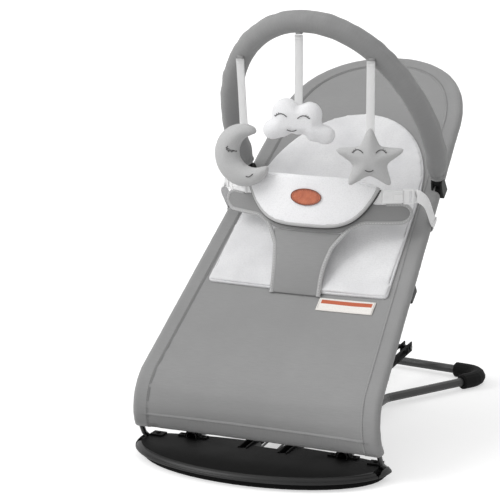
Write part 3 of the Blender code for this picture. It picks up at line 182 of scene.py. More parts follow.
webbing_thickness = 1.6 * MM
buckle_centre_x = 131 * MM
buckle_centre_z = 373 * MM
buckle_length = 48 * MM
buckle_height = 20 * MM
buckle_depth = 9 * MM
strap_place = 420.8 * MM
strap_tail = 34 * MM
binding_half_width = 3.4 * MM
binding_half_height = 1.9 * MM
wing_tape_start = 66 * MM

# Toy bar
bar_lean = math.radians(31.13)
bar_pivot_lift = 14 * MM
bar_foot_half_width = 158 * MM
bar_half_width = 165 * MM
bar_straight = 60 * MM
bar_height = 299 * MM
bar_sleeve_radius = 16.8 * MM
bar_sleeve_foot_radius = 11.2 * MM
bar_sleeve_start = 12 * MM
toy_clip_place = 489.3 * MM

# Toys
ribbon_width = 13 * MM
ribbon_thickness = 1.1 * MM
ribbon_length = 97 * MM
ribbon_sewn_in = {"star": 11 * MM, "cloud": 14 * MM, "moon": 7 * MM}
ribbon_phase = {"star": 0.4, "cloud": 1.9, "moon": 3.1}
tab_drop = 4 * MM
tab_width = 10 * MM
tab_root = 17 * MM
toy_half_thickness = 17 * MM
toy_seam_depth = 2.4 * MM
lid_radius = 0.75 * MM
lash_radius = 0.6 * MM
star_x = 102 * MM
star_top = 54 * MM
star_radius = 62 * MM
star_inner_radius = 27 * MM
star_tip_radius = 55 * MM
star_squash = 0.9
star_yaw = math.radians(22)
cloud_x = -6 * MM
cloud_hang = math.radians(35)
cloud_width = 116 * MM
cloud_top = 30 * MM
cloud_yaw = math.radians(16)
moon_x = -110 * MM
moon_top = 49 * MM
moon_slide = 6.5 * MM
moon_radius = 51 * MM
moon_hollow_radius = 24.5 * MM
moon_hollow_shift = 18.5 * MM
moon_spread = math.radians(143)
moon_tilt = math.radians(20)
moon_yaw = math.radians(-4)


# Places on the seat

back_direction = Vector((0, math.cos(seat_angle), math.sin(seat_angle)))
back_normal = Vector((0, -math.sin(seat_angle), math.cos(seat_angle)))
lower_length = lower_bend_radius * lower_bend_angle
back_end = lower_length + back_length
seat_length = back_end + head_length
arch_start = back_end - arch_before_bend
arch_length = seat_length - hem_inset - arch_start
side_distances = [side_step * step for step in range(int(arch_start / side_step))]
lower_bend_centre = hinge + back_direction * seat_start + back_normal * (seat_lift - lower_bend_radius)
head_bend_centre = hinge + back_direction * (seat_start + back_length)
head_bend_centre += back_normal * (seat_lift - head_bend_radius)


def bend_lines(centre, radius, turn):
    """A place on one of the seat's bends, turned from the back towards the head, and its ways."""
    outward = back_normal * math.cos(turn) + back_direction * math.sin(turn)
    onward = back_direction * math.cos(turn) - back_normal * math.sin(turn)
    return centre + outward * radius, onward, outward


def seat_lines(distance):
    """The seat's middle line at a distance from the hem: the place, the way on and the way out."""
    if distance < lower_length:
        return bend_lines(lower_bend_centre, lower_bend_radius, (distance - lower_length) / lower_bend_radius)
    if distance < back_end:
        place = hinge + back_direction * (seat_start + distance - lower_length) + back_normal * seat_lift
        return place, back_direction, back_normal
    return bend_lines(head_bend_centre, head_bend_radius, (distance - back_end) / head_bend_radius)


def seat_point(distance, x=0.0, lift=0.0):
    """A place on the seat: a distance from the hem, across, and up from the wires' plane."""
    place, onward, outward = seat_lines(distance)
    return place + X_AXIS * x + outward * lift


def side_width(distance):
    """Half the seat's width between its sides' outer faces."""
    share = distance / arch_start
    return seat_half_width_bottom + (seat_half_width_top - seat_half_width_bottom) * share


def rim_half_width(distance):
    """How far out the wires run, from the foot end to the top of the head arch."""
    width = side_width(min(distance, arch_start)) - hem_inset
    if distance <= arch_start:
        return width
    reach = (distance - arch_start) / arch_length
    return width * math.sqrt(max(0.0, 1 - reach * reach))


def cover_top(x, distance):
    """How far the cover's upper face is above the wires' plane."""
    share = min(1.0, abs(x) / max(1 * MM, rim_half_width(distance)))
    return cover_edge_lift - cover_sag * (1 - share * share)


# Places on the harness

def standing_point(x, height, out=0.0):
    """A place on the curved surface that stands in front of the sitter, or out from it."""
    depth = (band_side_y - band_front_y) * (x / band_half_width) ** 2
    lean = band_lean * (height - band_low)
    slope = math.atan2(2 * depth, abs(x)) if x else 0
    outward = Vector((math.copysign(math.sin(slope), x), -math.cos(slope), 0))
    return Vector((x, band_front_y + depth + lean, height)) + outward * out


def ease(value, start, end):
    """0 up to the start, 1 from the end, and smooth in between."""
    share = min(1, max(0, (value - start) / (end - start)))
    return share * share * (3 - 2 * share)


def band_edges(x):
    """The low and the high edge of the waist band: high in the middle, with rounded wings."""
    reach = abs(x)
    tip = math.sqrt(max(0, 1 - max(0, (reach - wing_straight) / wing_round) ** 2))
    rise = ease(reach, stem_half_width_top * 0.85, band_half_width * 0.6)
    low = band_low + (band_wing_low - band_low) * rise
    high = bib_high - 8 * MM
    high += (band_wing_high - high) * ease(reach, bib_half_width * 0.6, bib_half_width * 0.95)
    middle = (low + high) / 2
    half = (high - low) / 2 * max(tip, 0.25)
    return middle - half, middle + half


def bib_edges(x):
    """The low and the high edge of the bib, which is round below and nearly straight on top."""
    share = min(1, abs(x) / bib_half_width)
    low = bib_corner - (bib_corner - bib_low) * (1 - share ** 4.1)
    high = bib_high - (bib_high - bib_corner) * share ** 4
    return low, max(high, low + 4 * MM)


def stem_half_width(share):
    """The crotch panel is widest at its top, a share of 1."""
    return stem_half_width_foot + (stem_half_width_top - stem_half_width_foot) * share ** 3


def stem_point(share, across, out=0.0):
    """A place on the crotch panel: its share of the way up, its place across from -1 to 1, and out."""
    foot = seat_point(stem_place, 0, cover_top(0, stem_place) + stem_thickness / 2)
    x = stem_half_width(share) * across
    top = standing_point(x, band_low, -band_thickness / 2)
    place = Vector((x, foot.y, foot.z)).lerp(top, share)
    place.y -= stem_sag * math.sin(math.pi * share) + out
    return place


# Places on the toy bar

bar_upward = Vector((0, -math.sin(bar_lean), math.cos(bar_lean)))
bar_pivot = seat_point(toy_clip_place) + bar_upward * bar_pivot_lift


def bar_place(x):
    """The toy bar's middle line above a given x."""
    rise = (bar_height - bar_straight) * math.sqrt(1 - (x / bar_half_width) ** 2)
    return bar_pivot + X_AXIS * x + bar_upward * (bar_straight + rise)


def bar_outward(x, hang):
    """A way out of the bar: straight out of its front, turned towards the arch's inside."""
    tangent = (bar_place(x + 1 * MM) - bar_place(x - 1 * MM)).normalized()
    front = X_AXIS.cross(bar_upward)
    inward = tangent * tangent.dot(bar_upward) - bar_upward
    return front * math.cos(hang) + inward.normalized() * math.sin(hang)


toy_places = {name: (x, bar_outward(x, hang))
              for name, x, hang in (("star", star_x, 0), ("cloud", cloud_x, cloud_hang), ("moon", moon_x, 0))}


def toy_hinge(name):
    """Where a toy's ribbon swings in its tab, as the joint does in the frame."""
    x, outward = toy_places[name]
    return bar_place(x) + outward * (tab_root + tab_drop)


# Materials

def tone(red, green=None, blue=None):
    """A colour from its 0 to 255 values on a screen, as the shader wants it."""
    values = (red, red if green is None else green, red if blue is None else blue)
    linear = [(v / 255 / 12.92 if v <= 10 else ((v / 255 + 0.055) / 1.055) ** 2.4) for v in values]
    return (*linear, 1)


def add_node(tree, kind, inputs=None, **settings):
    """A shader node; an input is a plain value, or another node's output to link."""
    node = tree.nodes.new(kind)
    for key, value in settings.items():
        setattr(node, key, value)
    for key, value in (inputs or {}).items():
        if isinstance(value, bpy.types.NodeSocket):
            tree.links.new(value, node.inputs[key])
        else:
            node.inputs[key].default_value = value
    return node


class Finish:
    """A material with one Principled shader, and short ways to add nodes to it."""

    def __init__(self, name, roughness, **sockets):
        self.material = bpy.data.materials.new(name)
        self.material.use_nodes = True
        self.tree = self.material.node_tree
        self.shader = self.tree.nodes["Principled BSDF"]
        self.shader.inputs["Roughness"].default_value = roughness
        for socket, value in sockets.items():
            self.shader.inputs[socket.replace("_", " ")].default_value = value
        self.places = self.add("ShaderNodeTexCoord")

    def add(self, kind, inputs=None, **settings):
        return add_node(self.tree, kind, inputs, **settings)

    def link(self, value, socket):
        self.tree.links.new(value, self.shader.inputs[socket])

    def math(self, operation, first, second=0.0, third=0.0):
        inputs = {0: first, 1: second, 2: third}
        return self.add("ShaderNodeMath", inputs, operation=operation).outputs[0]

    def noise(self, scale, detail=2.0):
        inputs = {"Vector": self.places.outputs["Object"], "Scale": scale, "Detail": detail}
        return self.add("ShaderNodeTexNoise", inputs).outputs["Fac"]

    def ramp(self, value, low, high, most=1.0):
        """The value stretched so that low becomes 0 and high becomes the most."""
        inputs = {"Value": value, "From Min": low, "From Max": high, "To Max": most}
        return self.add("ShaderNodeMapRange", inputs).outputs[0]

    def mix(self, factor, first, second):
        """From the first colour at 0 to the second at 1."""
        inputs = {"Factor": factor, 6: first, 7: second}
        return self.add("ShaderNodeMix", inputs, data_type="RGBA").outputs[2]

    def bump(self, height, distance, strength, normal=None):
        inputs = {"Height": height, "Distance": distance, "Strength": strength}
        if normal is not None:
            inputs["Normal"] = normal
        return self.add("ShaderNodeBump", inputs).outputs["Normal"]

    def threads(self, pitch):
        """Two crossing sets of threads, from -1 to 1, and the flat place split in two."""
        parts = self.add("ShaderNodeSeparateXYZ", {0: self.places.outputs["UV"]}).outputs
        turn = 2 * math.pi / pitch
        warp = self.math("SINE", self.math("MULTIPLY", parts[0], turn))
        weft = self.math("SINE", self.math("MULTIPLY", parts[1], turn))
        return self.math("MULTIPLY", warp, weft), parts


def darker(colour, share):
    """A share of a colour's light."""
    return tuple(value * share for value in colour[:3]) + (1,)


def woven(name, colour, shade, pitch):
    """A plain weave on the sheets built point by point, whose flat places are in metres."""
    finish = Finish(name, 0.88, Sheen_Weight=0.3, Sheen_Roughness=0.45, Specular_IOR_Level=0.25)
    crossing, parts = finish.threads(pitch)
    drawn_out = {"Vector": finish.places.outputs["UV"], "Scale": (60, 620, 1)}
    drawn_out = finish.add("ShaderNodeMapping", drawn_out).outputs[0]
    slub = finish.add("ShaderNodeTexNoise", {"Vector": drawn_out, "Scale": 1.0, "Detail": 2.0}).outputs["Fac"]
    body = finish.mix(finish.ramp(finish.noise(7, 3), 0.3, 0.7), shade, colour)
    body = finish.mix(finish.ramp(slub, 0.35, 0.7, 0.35), body, darker(colour, 0.8))
    body = finish.mix(finish.ramp(crossing, 0.2, -1.0, 0.3), body, darker(colour, 0.62))
    finish.link(body, "Base Color")
    creases = finish.bump(finish.noise(26, 3), 0.9 * MM, 0.5)
    finish.link(finish.bump(crossing, 0.12 * MM, 0.8, creases), "Normal")
    return finish.material


def soft_knit(name, colour, shade, loop=2.2 * MM, sheen=0.5, nap=0.6 * MM):
    """A soft knit or short pile on stuffed pieces, by object places."""
    finish = Finish(name, 0.95, Sheen_Weight=sheen, Sheen_Roughness=0.5, Specular_IOR_Level=0.15)
    inputs = {"Vector": finish.places.outputs["Object"], "Scale": 1 / loop, "Randomness": 0.75}
    cells = finish.add("ShaderNodeTexVoronoi", inputs).outputs["Distance"]
    fuzz = finish.noise(900, 3)
    broad = finish.noise(16, 3)
    body = finish.mix(finish.ramp(broad, 0.3, 0.72), shade, colour)
    body = finish.mix(finish.ramp(cells, 0.35, 0.9, 0.35), body, darker(colour, 0.75))
    body = finish.mix(finish.ramp(fuzz, 0.35, 0.65, 0.16), body, darker(colour, 0.78))
    finish.link(body, "Base Color")
    soft = finish.bump(broad, 2.2 * MM, 0.35)
    finish.link(finish.bump(finish.math("SUBTRACT", fuzz, cells), nap, 0.55, soft), "Normal")
    return finish.material


def tape(name, colour, rib=1.3 * MM, sheen=0.25):
    """Woven tape: fine ribs across it, darker between the ribs and in faint blotches."""
    finish = Finish(name, 0.72, Sheen_Weight=sheen, Specular_IOR_Level=0.35)
    crossing, parts = finish.threads(rib)
    ribs = finish.math("SINE", finish.math("MULTIPLY", parts[1], 2 * math.pi / rib))
    body = finish.mix(finish.ramp(ribs, 0.4, -1.0, 0.16), colour, darker(colour, 0.7))
    body = finish.mix(finish.ramp(finish.noise(30), 0, 1, 0.12), body, darker(colour, 0.8))
    finish.link(body, "Base Color")
    lines = finish.bump(ribs, 0.25 * MM, 0.6)
    finish.link(finish.bump(crossing, 0.1 * MM, 0.5, lines), "Normal")
    return finish.material


def banded_tag(name):
    """The tag's weave, with one plain rust band across its upper part."""
    finish = Finish(name, 0.78, Sheen_Weight=0.2, Specular_IOR_Level=0.3)
    crossing, parts = finish.threads(0.7 * MM)
    low = finish.math("GREATER_THAN", parts[1], tag_length * 0.56)
    high = finish.math("LESS_THAN", parts[1], tag_length * 0.86)
    left = finish.math("GREATER_THAN", parts[0], tag_width * 0.05)
    right = finish.math("LESS_THAN", parts[0], tag_width * 0.95)
    band = finish.math("MULTIPLY", finish.math("MULTIPLY", low, high), finish.math("MULTIPLY", left, right))
    body = finish.mix(band, tone(240, 237, 232), tone(192, 98, 66))
    fleck = finish.ramp(finish.noise(700), 0.4, 0.7, 0.12)
    finish.link(finish.mix(fleck, body, tone(150, 110, 95)), "Base Color")
    finish.link(finish.bump(crossing, 0.12 * MM, 0.6), "Normal")
    return finish.material


def leather(name, colour, dark):
    """Grained leather, darker in patches."""
    finish = Finish(name, 0.5, Coat_Weight=0.08, Specular_IOR_Level=0.45)
    inputs = {"Vector": finish.places.outputs["Object"], "Scale": 900.0, "Randomness": 1.0}
    grain = finish.add("ShaderNodeTexVoronoi", inputs, feature="DISTANCE_TO_EDGE").outputs["Distance"]
    finish.link(finish.mix(finish.ramp(finish.noise(120, 4), 0.3, 0.7), dark, colour), "Base Color")
    finish.link(finish.ramp(finish.noise(300), 0.2, 1.6), "Roughness")
    finish.link(finish.bump(grain, 0.3 * MM, 0.7), "Normal")
    return finish.material


def moulded(name, colour, worn, roughness, grain=0.08 * MM, scale=1400.0, **sockets):
    """Moulded plastic or rubber: a fine spark texture, with slightly rubbed and dusty areas."""
    finish = Finish(name, roughness, **sockets)
    broad = finish.noise(18, 4)
    finish.link(finish.mix(finish.ramp(broad, 0.35, 0.8), colour, worn), "Base Color")
    finish.link(finish.math("MULTIPLY_ADD", broad, 0.22, roughness - 0.11), "Roughness")
    finish.link(finish.bump(finish.noise(scale), grain, 0.5), "Normal")
    return finish.material


def coated_steel(name, colour, worn, roughness):
    """Black powder coat: orange-peel bumps and a few polished rub marks."""
    finish = Finish(name, roughness, Coat_Weight=0.25, Coat_Roughness=0.35)
    broad = finish.noise(45, 4)
    finish.link(finish.mix(finish.ramp(broad, 0.5, 0.85), colour, worn), "Base Color")
    finish.link(finish.ramp(broad, -0.5, 1.9), "Roughness")
    finish.link(finish.bump(finish.noise(700), 0.12 * MM, 0.45), "Normal")
    return finish.material


grey_cloth = woven("grey_weave", tone(154), tone(145), 1.5 * MM)
# The insert's knit has broad random blotches set darker than its own tone needs. They are partly random tone
# and partly painted shade for the soft shading of the puffed cushion.
pale_cloth = soft_knit("pale_knit", tone(233, 233, 234), tone(214, 214, 216), 2.6 * MM, 0.25)
bib_cloth = soft_knit("bib_knit", tone(250, 250, 251), tone(245, 245, 247), 1.8 * MM, 0.2, 0.35 * MM)
grey_plush = soft_knit("grey_plush", tone(197), tone(187), 1.6 * MM)
pale_plush = soft_knit("pale_plush", tone(248, 248, 249), tone(239, 239, 241), 1.6 * MM)
binding_tape = tape("binding_tape", tone(180))
pale_binding = tape("pale_binding", tone(196))
# A dark tape for the cord that paints the shadow line outside the bib's binding.
painted_shadow_cord = tape("painted_shadow_cord", tone(80))
white_tape = tape("white_tape", tone(250))
ribbon_tape = tape("ribbon_tape", tone(238), 0.9 * MM, 0.5)
grey_tape = tape("grey_tape", tone(150))
tag_cloth = banded_tag("tag_cloth")
patch_leather = leather("patch_leather", tone(198, 112, 78), tone(176, 92, 62))
patch_edge = leather("patch_edge", tone(128, 70, 52), tone(110, 60, 46))
grey_thread = tape("grey_thread", tone(128), 0.5 * MM)
white_thread = tape("white_thread", tone(226), 0.5 * MM)
face_thread = tape("face_thread", tone(84), 0.5 * MM)
white_plastic = moulded("white_plastic", tone(243), tone(236), 0.34, 0.03 * MM, 700.0, Specular_IOR_Level=0.5)
# The plate's plastic comes in two copies. The rim's copy is lighter and glossier, a painted highlight along
# its edges. The top's copy is darker and duller, painted shade against the sky's reflection. The small parts
# on the plate share the top's copy.
plate_plastic = moulded("plate_plastic", tone(4), tone(9), 0.62, Specular_IOR_Level=0.09)
rim_plastic_painted_highlight = moulded("rim_plastic_painted_highlight", tone(16), tone(24), 0.38, 0.04 * MM, Specular_IOR_Level=0.32)
clip_plastic = moulded("clip_plastic", tone(18), tone(28), 0.5, Specular_IOR_Level=0.25)
roller_plastic = moulded("roller_plastic", tone(236), tone(224), 0.4)
rubber = moulded("foot_rubber", tone(20), tone(30), 0.8, 0.15 * MM, 900.0, Specular_IOR_Level=0.15)
frame_steel = coated_steel("frame_steel", tone(28), tone(40), 0.4)
wire_steel = coated_steel("wire_steel", tone(24), tone(36), 0.45)
small_steel = coated_steel("small_steel", tone(34), tone(60), 0.4)


# CAD nodes that keep their shape

def both(*names):
    """The names of the left and the right node of each pair."""
    return [name + "_" + side for name in names for side, sign in SIDES]


cad_finishes = {
    plate_plastic: ["rail_bridge"] + both("pin_cap", "cap_screw", "tube_strap", "rail"),
    rubber: ["base_pad"] + both("corner_foot"),
    frame_steel: ["rear_leg", "rail_tie", "cross_rod", "toy_bar_tube"] + both("floor_tube", "stay_arm"),
    wire_steel: ["head_arch", "hem_bar", "bounce_spring", "foot_rod", "rail_pin"] + both("side_wire"),
    small_steel: both("wire_connector"),
    clip_plastic: ["recline_catch"] + both("rod_clip", "toy_clip", "toy_bar_plug"),
    roller_plastic: both("foot_roller"),
    white_plastic: both("buckle_button"),
}


def dress_cad_nodes():
    """Gives each CAD node that no piece replaces its material."""
    for material, names in cad_finishes.items():
        for name in names:
            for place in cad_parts[name].material_slots:
                place.material = material


# Mesh building

def mesh_from(name, shape):
    """Turns a bmesh into a mesh and frees it."""
    mesh = bpy.data.meshes.new(name)
    shape.to_mesh(mesh)
    shape.free()
    return mesh


def linked(name, data):
    """A new object in the scene."""
    item = bpy.data.objects.new(name, data)
    bpy.context.scene.collection.objects.link(item)
    return item


def finished(name, shape, material, body, slot=None, replaces=()):
    """A smooth piece from a bmesh, riding on a body."""
    mesh = mesh_from(name, shape)
    mesh.shade_smooth()
    for one in material if isinstance(material, list) else [material]:
        mesh.materials.append(one)
    item = linked(name, mesh)
    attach(item, body)
    if replaces:
        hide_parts(*replaces)
    return item


def add_grid(shape, rows, spots, looped=False, caps=False):
    """Faces through rows of points, with a flat place in metres for each point."""
    flat = shape.loops.layers.uv.verify()
    corners = [[shape.verts.new(point) for point in row] for row in rows]
    count = len(rows[0])
    for index in range(len(rows) - 1):
        near, far = corners[index], corners[index + 1]
        for column in range(count if looped else count - 1):
            beside = (column + 1) % count
            face = shape.faces.new((near[column], near[beside], far[beside], far[column]))
            places = ((index, column), (index, column + 1), (index + 1, column + 1), (index + 1, column))
            for loop, (row, place) in zip(face.loops, places):
                loop[flat].uv = spots[row][place]
    if caps:
        shape.faces.new(corners[0])
        shape.faces.new(corners[-1])
    return corners


def running_lengths(points):
    """The length of a path from its start to each of its points."""
    total = [0.0]
    for before, after in zip(points, points[1:]):
        total.append(total[-1] + (after - before).length)
    return total


def add_tube(shape, rings):
    """A closed tube through rings, its flat places round each ring and along their first points."""
    along = running_lengths([ring[0] for ring in rings])
    around = [running_lengths(ring + ring[:1]) for ring in rings]
    spots = [[(u, v) for u in lengths] for lengths, v in zip(around, along)]
    add_grid(shape, rings, spots, looped=True, caps=True)


def tube_piece(name, rings, *says):
    """A piece that is one closed tube; the rest goes to finished()."""
    shape = bmesh.new()
    add_tube(shape, rings)
    return finished(name, shape, *says)


def section_ring(centre, across, up, section):
    """The points of a section, given as (across, up) pairs, about its centre."""
    return [centre + across * u + up * v for u, v in section]


def ways_ahead(path):
    """The direction of a path at each of its points."""
    ends = zip(path[:1] + path, path[1:] + path[-1:])
    return [(after - before).normalized() for before, after in ends]


def add_sweep(shape, path, section, side=X_AXIS):
    """A closed tube along a path; section is a list of (across, up)."""
    rings = []
    for point, ahead in zip(path, ways_ahead(path)):
        side = (side - ahead * side.dot(ahead)).normalized()
        rings.append(section_ring(point, side, ahead.cross(side), section))
    add_tube(shape, rings)


def oval(half_width, half_height, count):
    turns = [2 * math.pi * (index + 0.5) / count for index in range(count)]
    return [(half_width * math.cos(turn), half_height * math.sin(turn)) for turn in turns]


def smooth_path(points, steps):
    """A curve through points, with some steps from each to the next."""
    path = []
    ends = [points[0] * 2 - points[1]] + list(points) + [points[-1] * 2 - points[-2]]
    for before, start, end, after in zip(ends, ends[1:], ends[2:], ends[3:]):
        for step in range(steps):
            share = step / steps
            path.append(0.5 * (2 * start + (end - before) * share
                               + (2 * before - 5 * start + 4 * end - after) * share ** 2
                               + (3 * start - before - 3 * end + after) * share ** 3))
    path.append(points[-1])
    return path


def evenly_along(path, pitch):
    """Points and directions at equal steps along a path."""
    total = running_lengths(path)
    count = max(1, int(total[-1] / pitch))
    found = []
    index = 0
    for step in range(count):
        reach = (step + 0.5) * total[-1] / count
        while total[index + 1] < reach:
            index += 1
        share = (reach - total[index]) / (total[index + 1] - total[index])
        found.append((path[index].lerp(path[index + 1], share), (path[index + 1] - path[index]).normalized()))
    return found


def stitches(name, paths, body, material, pitch=stitch_pitch, length=stitch_length, radius=stitch_radius):
    """Rows of single stitches, each a small spindle that lies on the cloth."""
    shape = bmesh.new()
    for path in paths:
        for place, ahead in evenly_along(path, pitch):
            across = ahead.orthogonal().normalized()
            up = ahead.cross(across)
            rings = []
            for reach, share in ((-0.5, 0.2), (-0.3, 1.0), (0.3, 1.0), (0.5, 0.2)):
                centre = place + ahead * length * reach
                rings.append([centre + (across * u + up * v) * radius * share for u, v in oval(1, 1, 5)])
            add_tube(shape, rings)
    return finished(name, shape, material, body)


def circle_turns(count):
    """Equal steps round a circle, without the last one, which is the first again."""
    return [2 * math.pi * step / count for step in range(count)]


def between(start, end, steps):
    """Evenly spaced values from start to end, with both."""
    return [start + (end - start) * step / steps for step in range(steps + 1)]


def refine(item):
    """Rounds a piece with one level of subdivision."""
    step = item.modifiers.new("finer", "SUBSURF")
    step.levels = step.render_levels = 1


def thicken(item, thickness, offset):
    """Gives a sheet its thickness: downwards with offset -1, to both sides with 0."""
    step = item.modifiers.new("cloth_thickness", "SOLIDIFY")
    step.thickness = thickness
    step.offset = offset


# Stuffed forms

def pillow(outline, place, front, back, factors=(1, 0.95, 0.85, 0.68, 0.45, 0.2)):
    """A closed form over a flat outline, in rings that shrink by the factors towards its middle.

    place(u, v, depth) is where a point of it lies; front(u, v) and back(u, v) give its depths.
    """
    shape = bmesh.new()
    middle_u = sum(u for u, v in outline) / len(outline)
    middle_v = sum(v for u, v in outline) / len(outline)
    borders = []
    for depth, sign in ((front, 1), (back, -1)):
        previous = None
        for factor in factors:
            ring = []
            for u, v in outline:
                spot = (middle_u + (u - middle_u) * factor, middle_v + (v - middle_v) * factor)
                ring.append(shape.verts.new(place(*spot, sign * depth(*spot))))
            if previous:
                bridge(shape, previous, ring)
            else:
                borders.append(ring)
            previous = ring
        tip = shape.verts.new(place(middle_u, middle_v, sign * depth(middle_u, middle_v)))
        for index, corner in enumerate(previous):
            shape.faces.new((corner, previous[(index + 1) % len(previous)], tip))
    bridge(shape, *borders)
    bmesh.ops.recalc_face_normals(shape, faces=shape.faces)
    return shape


def bridge(shape, near, far):
    """A band of faces between two rings of vertices."""
    for index, corner in enumerate(near):
        beside = (index + 1) % len(near)
        shape.faces.new((corner, near[beside], far[beside], far[index]))


def applied(item):
    """Makes the mesh that its modifiers show the piece's own."""
    shown = bpy.data.meshes.new_from_object(item.evaluated_get(bpy.context.evaluated_depsgraph_get()))
    item.modifiers.clear()
    item.data = shown
    item.data.shade_smooth()


cloth_frames = 20
cloth_stiffness = {"quality": 5, "mass": 0.3, "tension_stiffness": 15, "compression_stiffness": 12,
                   "shear_stiffness": 6, "bending_stiffness": 0.6, "air_damping": 2}


def stuff(item, voxel, pressure, most, limit, held=None):
    """Fills a closed cloth form: remesh, a short pressure simulation, smoothing and one subdivision.

    limit(point) brings a point back to where the cloth may be, and held(point) tells how firmly
    a seam holds it, from 0 to 1.
    """
    step = item.modifiers.new("even_mesh", "REMESH")
    step.mode = "VOXEL"
    step.voxel_size = voxel
    step = item.modifiers.new("smooth_steps", "SMOOTH")
    step.iterations = 4
    applied(item)
    inflate(item, pressure, most, held)
    for vertex in item.data.vertices:
        vertex.co = limit(vertex.co)
    step = item.modifiers.new("smooth_cloth", "SMOOTH")
    step.iterations = 2
    refine(item)
    applied(item)


def inflate(item, pressure, most, held):
    """Blows the form up for some frames, and moves no point by more than the most."""
    scene = bpy.context.scene
    before = [vertex.co.copy() for vertex in item.data.vertices]
    cloth = item.modifiers.new("air", "CLOTH")
    if held:
        group = item.vertex_groups.new(name="sewn_edge")
        for vertex in item.data.vertices:
            group.add([vertex.index], held(vertex.co), "REPLACE")
        cloth.settings.vertex_group_mass = group.name
    for name, value in cloth_stiffness.items():
        setattr(cloth.settings, name, value)
    cloth.settings.use_pressure = True
    cloth.settings.uniform_pressure_force = pressure
    cloth.settings.effector_weights.gravity = 0
    cloth.collision_settings.use_collision = False
    cloth.point_cache.frame_start = 1
    cloth.point_cache.frame_end = cloth_frames
    for number in range(1, cloth_frames + 1):
        scene.frame_set(number)
    seen = item.evaluated_get(bpy.context.evaluated_depsgraph_get()).data
    moved = [vertex.co.copy() for vertex in seen.vertices]
    item.modifiers.remove(cloth)
    scene.frame_set(1)
    for vertex, start, end in zip(item.data.vertices, before, moved):
        way = end - start
        if way.length > most:
            way = way.normalized() * most
        vertex.co = start + way


def crease(item, distance_to_seam, depth, width):
    """Pulls the cloth in along a seam; distance_to_seam gives each point's distance from it."""
    pulls = []
    for vertex in item.data.vertices:
        gap = distance_to_seam(vertex.co)
        pulls.append(vertex.normal * depth * math.exp(-(gap / width) ** 2))
    for vertex, pull in zip(item.data.vertices, pulls):
        vertex.co -= pull


def surface_finder(item):
    """A function that drops a point along a direction onto the piece, or else to its nearest point."""
    tree = BVHTree.FromObject(item, bpy.context.evaluated_depsgraph_get())

    def find(point, direction):
        place = tree.ray_cast(point, direction)[0]
        return tree.find_nearest(point)[0] if place is None else place
    return find


# Base plate

def plate_depth(y):
    """How far the plate reaches from the middle, behind the hinge or in front of it."""
    return plate_back_depth if y > 0 else plate_front_depth


def plate_ring(inset, height):
    """One level of the plate's outline: half an ellipse in front and a flatter half behind."""
    ring = []
    for turn in circle_turns(plate_ring_points):
        x = (plate_half_width - inset) * math.cos(turn)
        y = (plate_depth(math.sin(turn)) - inset) * math.sin(turn)
        ring.append(Vector((x, y, height)))
    return ring


def block_cutter(name, low, high):
    """A box between two corners, given in any order."""
    corners = [Vector([pick(a, b) for a, b in zip(low, high)]) for pick in (min, max)]
    middle = Matrix.Translation((corners[0] + corners[1]) / 2)
    shape = bmesh.new()
    bmesh.ops.create_cube(shape, size=1, matrix=middle @ Matrix.Diagonal(corners[1] - corners[0]).to_4x4())
    return linked(name, mesh_from(name, shape))


def rod_cutter(name, start, end, radius):
    """A round rod between two points."""
    way = end - start
    place = Matrix.Translation((start + end) / 2) @ way.to_track_quat("Z", "Y").to_matrix().to_4x4()
    shape = bmesh.new()
    bmesh.ops.create_cone(shape, cap_ends=True, segments=32, radius1=radius, radius2=radius,
                          depth=way.length, matrix=place)
    return linked(name, mesh_from(name, shape))


def plate_cutters():
    """The slots for the side wires, the rails, the spring and the floor tubes."""
    above = plate_top + 1 * MM
    behind = plate_back_depth + 9 * MM
    slot = wire_radius + running_gap
    groove = slot + running_gap
    foot = side_width(0) - hem_inset
    knee = seat_point(0).y - 2 * slot
    found = []
    for name, side in SIDES:
        found.append(block_cutter("wire_slot_" + name,
                                  (side * (foot - slot), knee, hinge.z - slot),
                                  (side * (foot + slot), hinge.y + slot, above)))
        found.append(block_cutter("pin_groove_" + name,
                                  (side * (foot - pin_reach), hinge.y - groove, hinge.z - slot - 0.3 * MM),
                                  (side * foot, hinge.y + groove, above)))
        rail_edges = [side * (rail_half_gap + rail_slot / 2 * edge) for edge in (-1, 1)]
        found.append(block_cutter("rail_slot_" + name,
                                  (rail_edges[0], hinge.y - rail_slot_front, pad_height / 2),
                                  (rail_edges[1], behind, above)))
        tube_x = side * floor_tube_half_gap
        found.append(rod_cutter("tube_groove_" + name,
                                Vector((tube_x, floor_tube_front - running_gap, floor_tube_lift)),
                                Vector((tube_x, behind, floor_tube_lift)),
                                floor_tube_radius + running_gap))
    pin_end = X_AXIS * rail_pin_reach
    found.append(rod_cutter("rail_pin_hole", hinge - pin_end, hinge + pin_end, rail_pin_radius + running_gap))
    found.append(block_cutter("spring_notch",
                              (-spring_notch_half_width, hinge.y + spring_notch_front, spring_notch_floor),
                              (spring_notch_half_width, behind, above)))
    return found


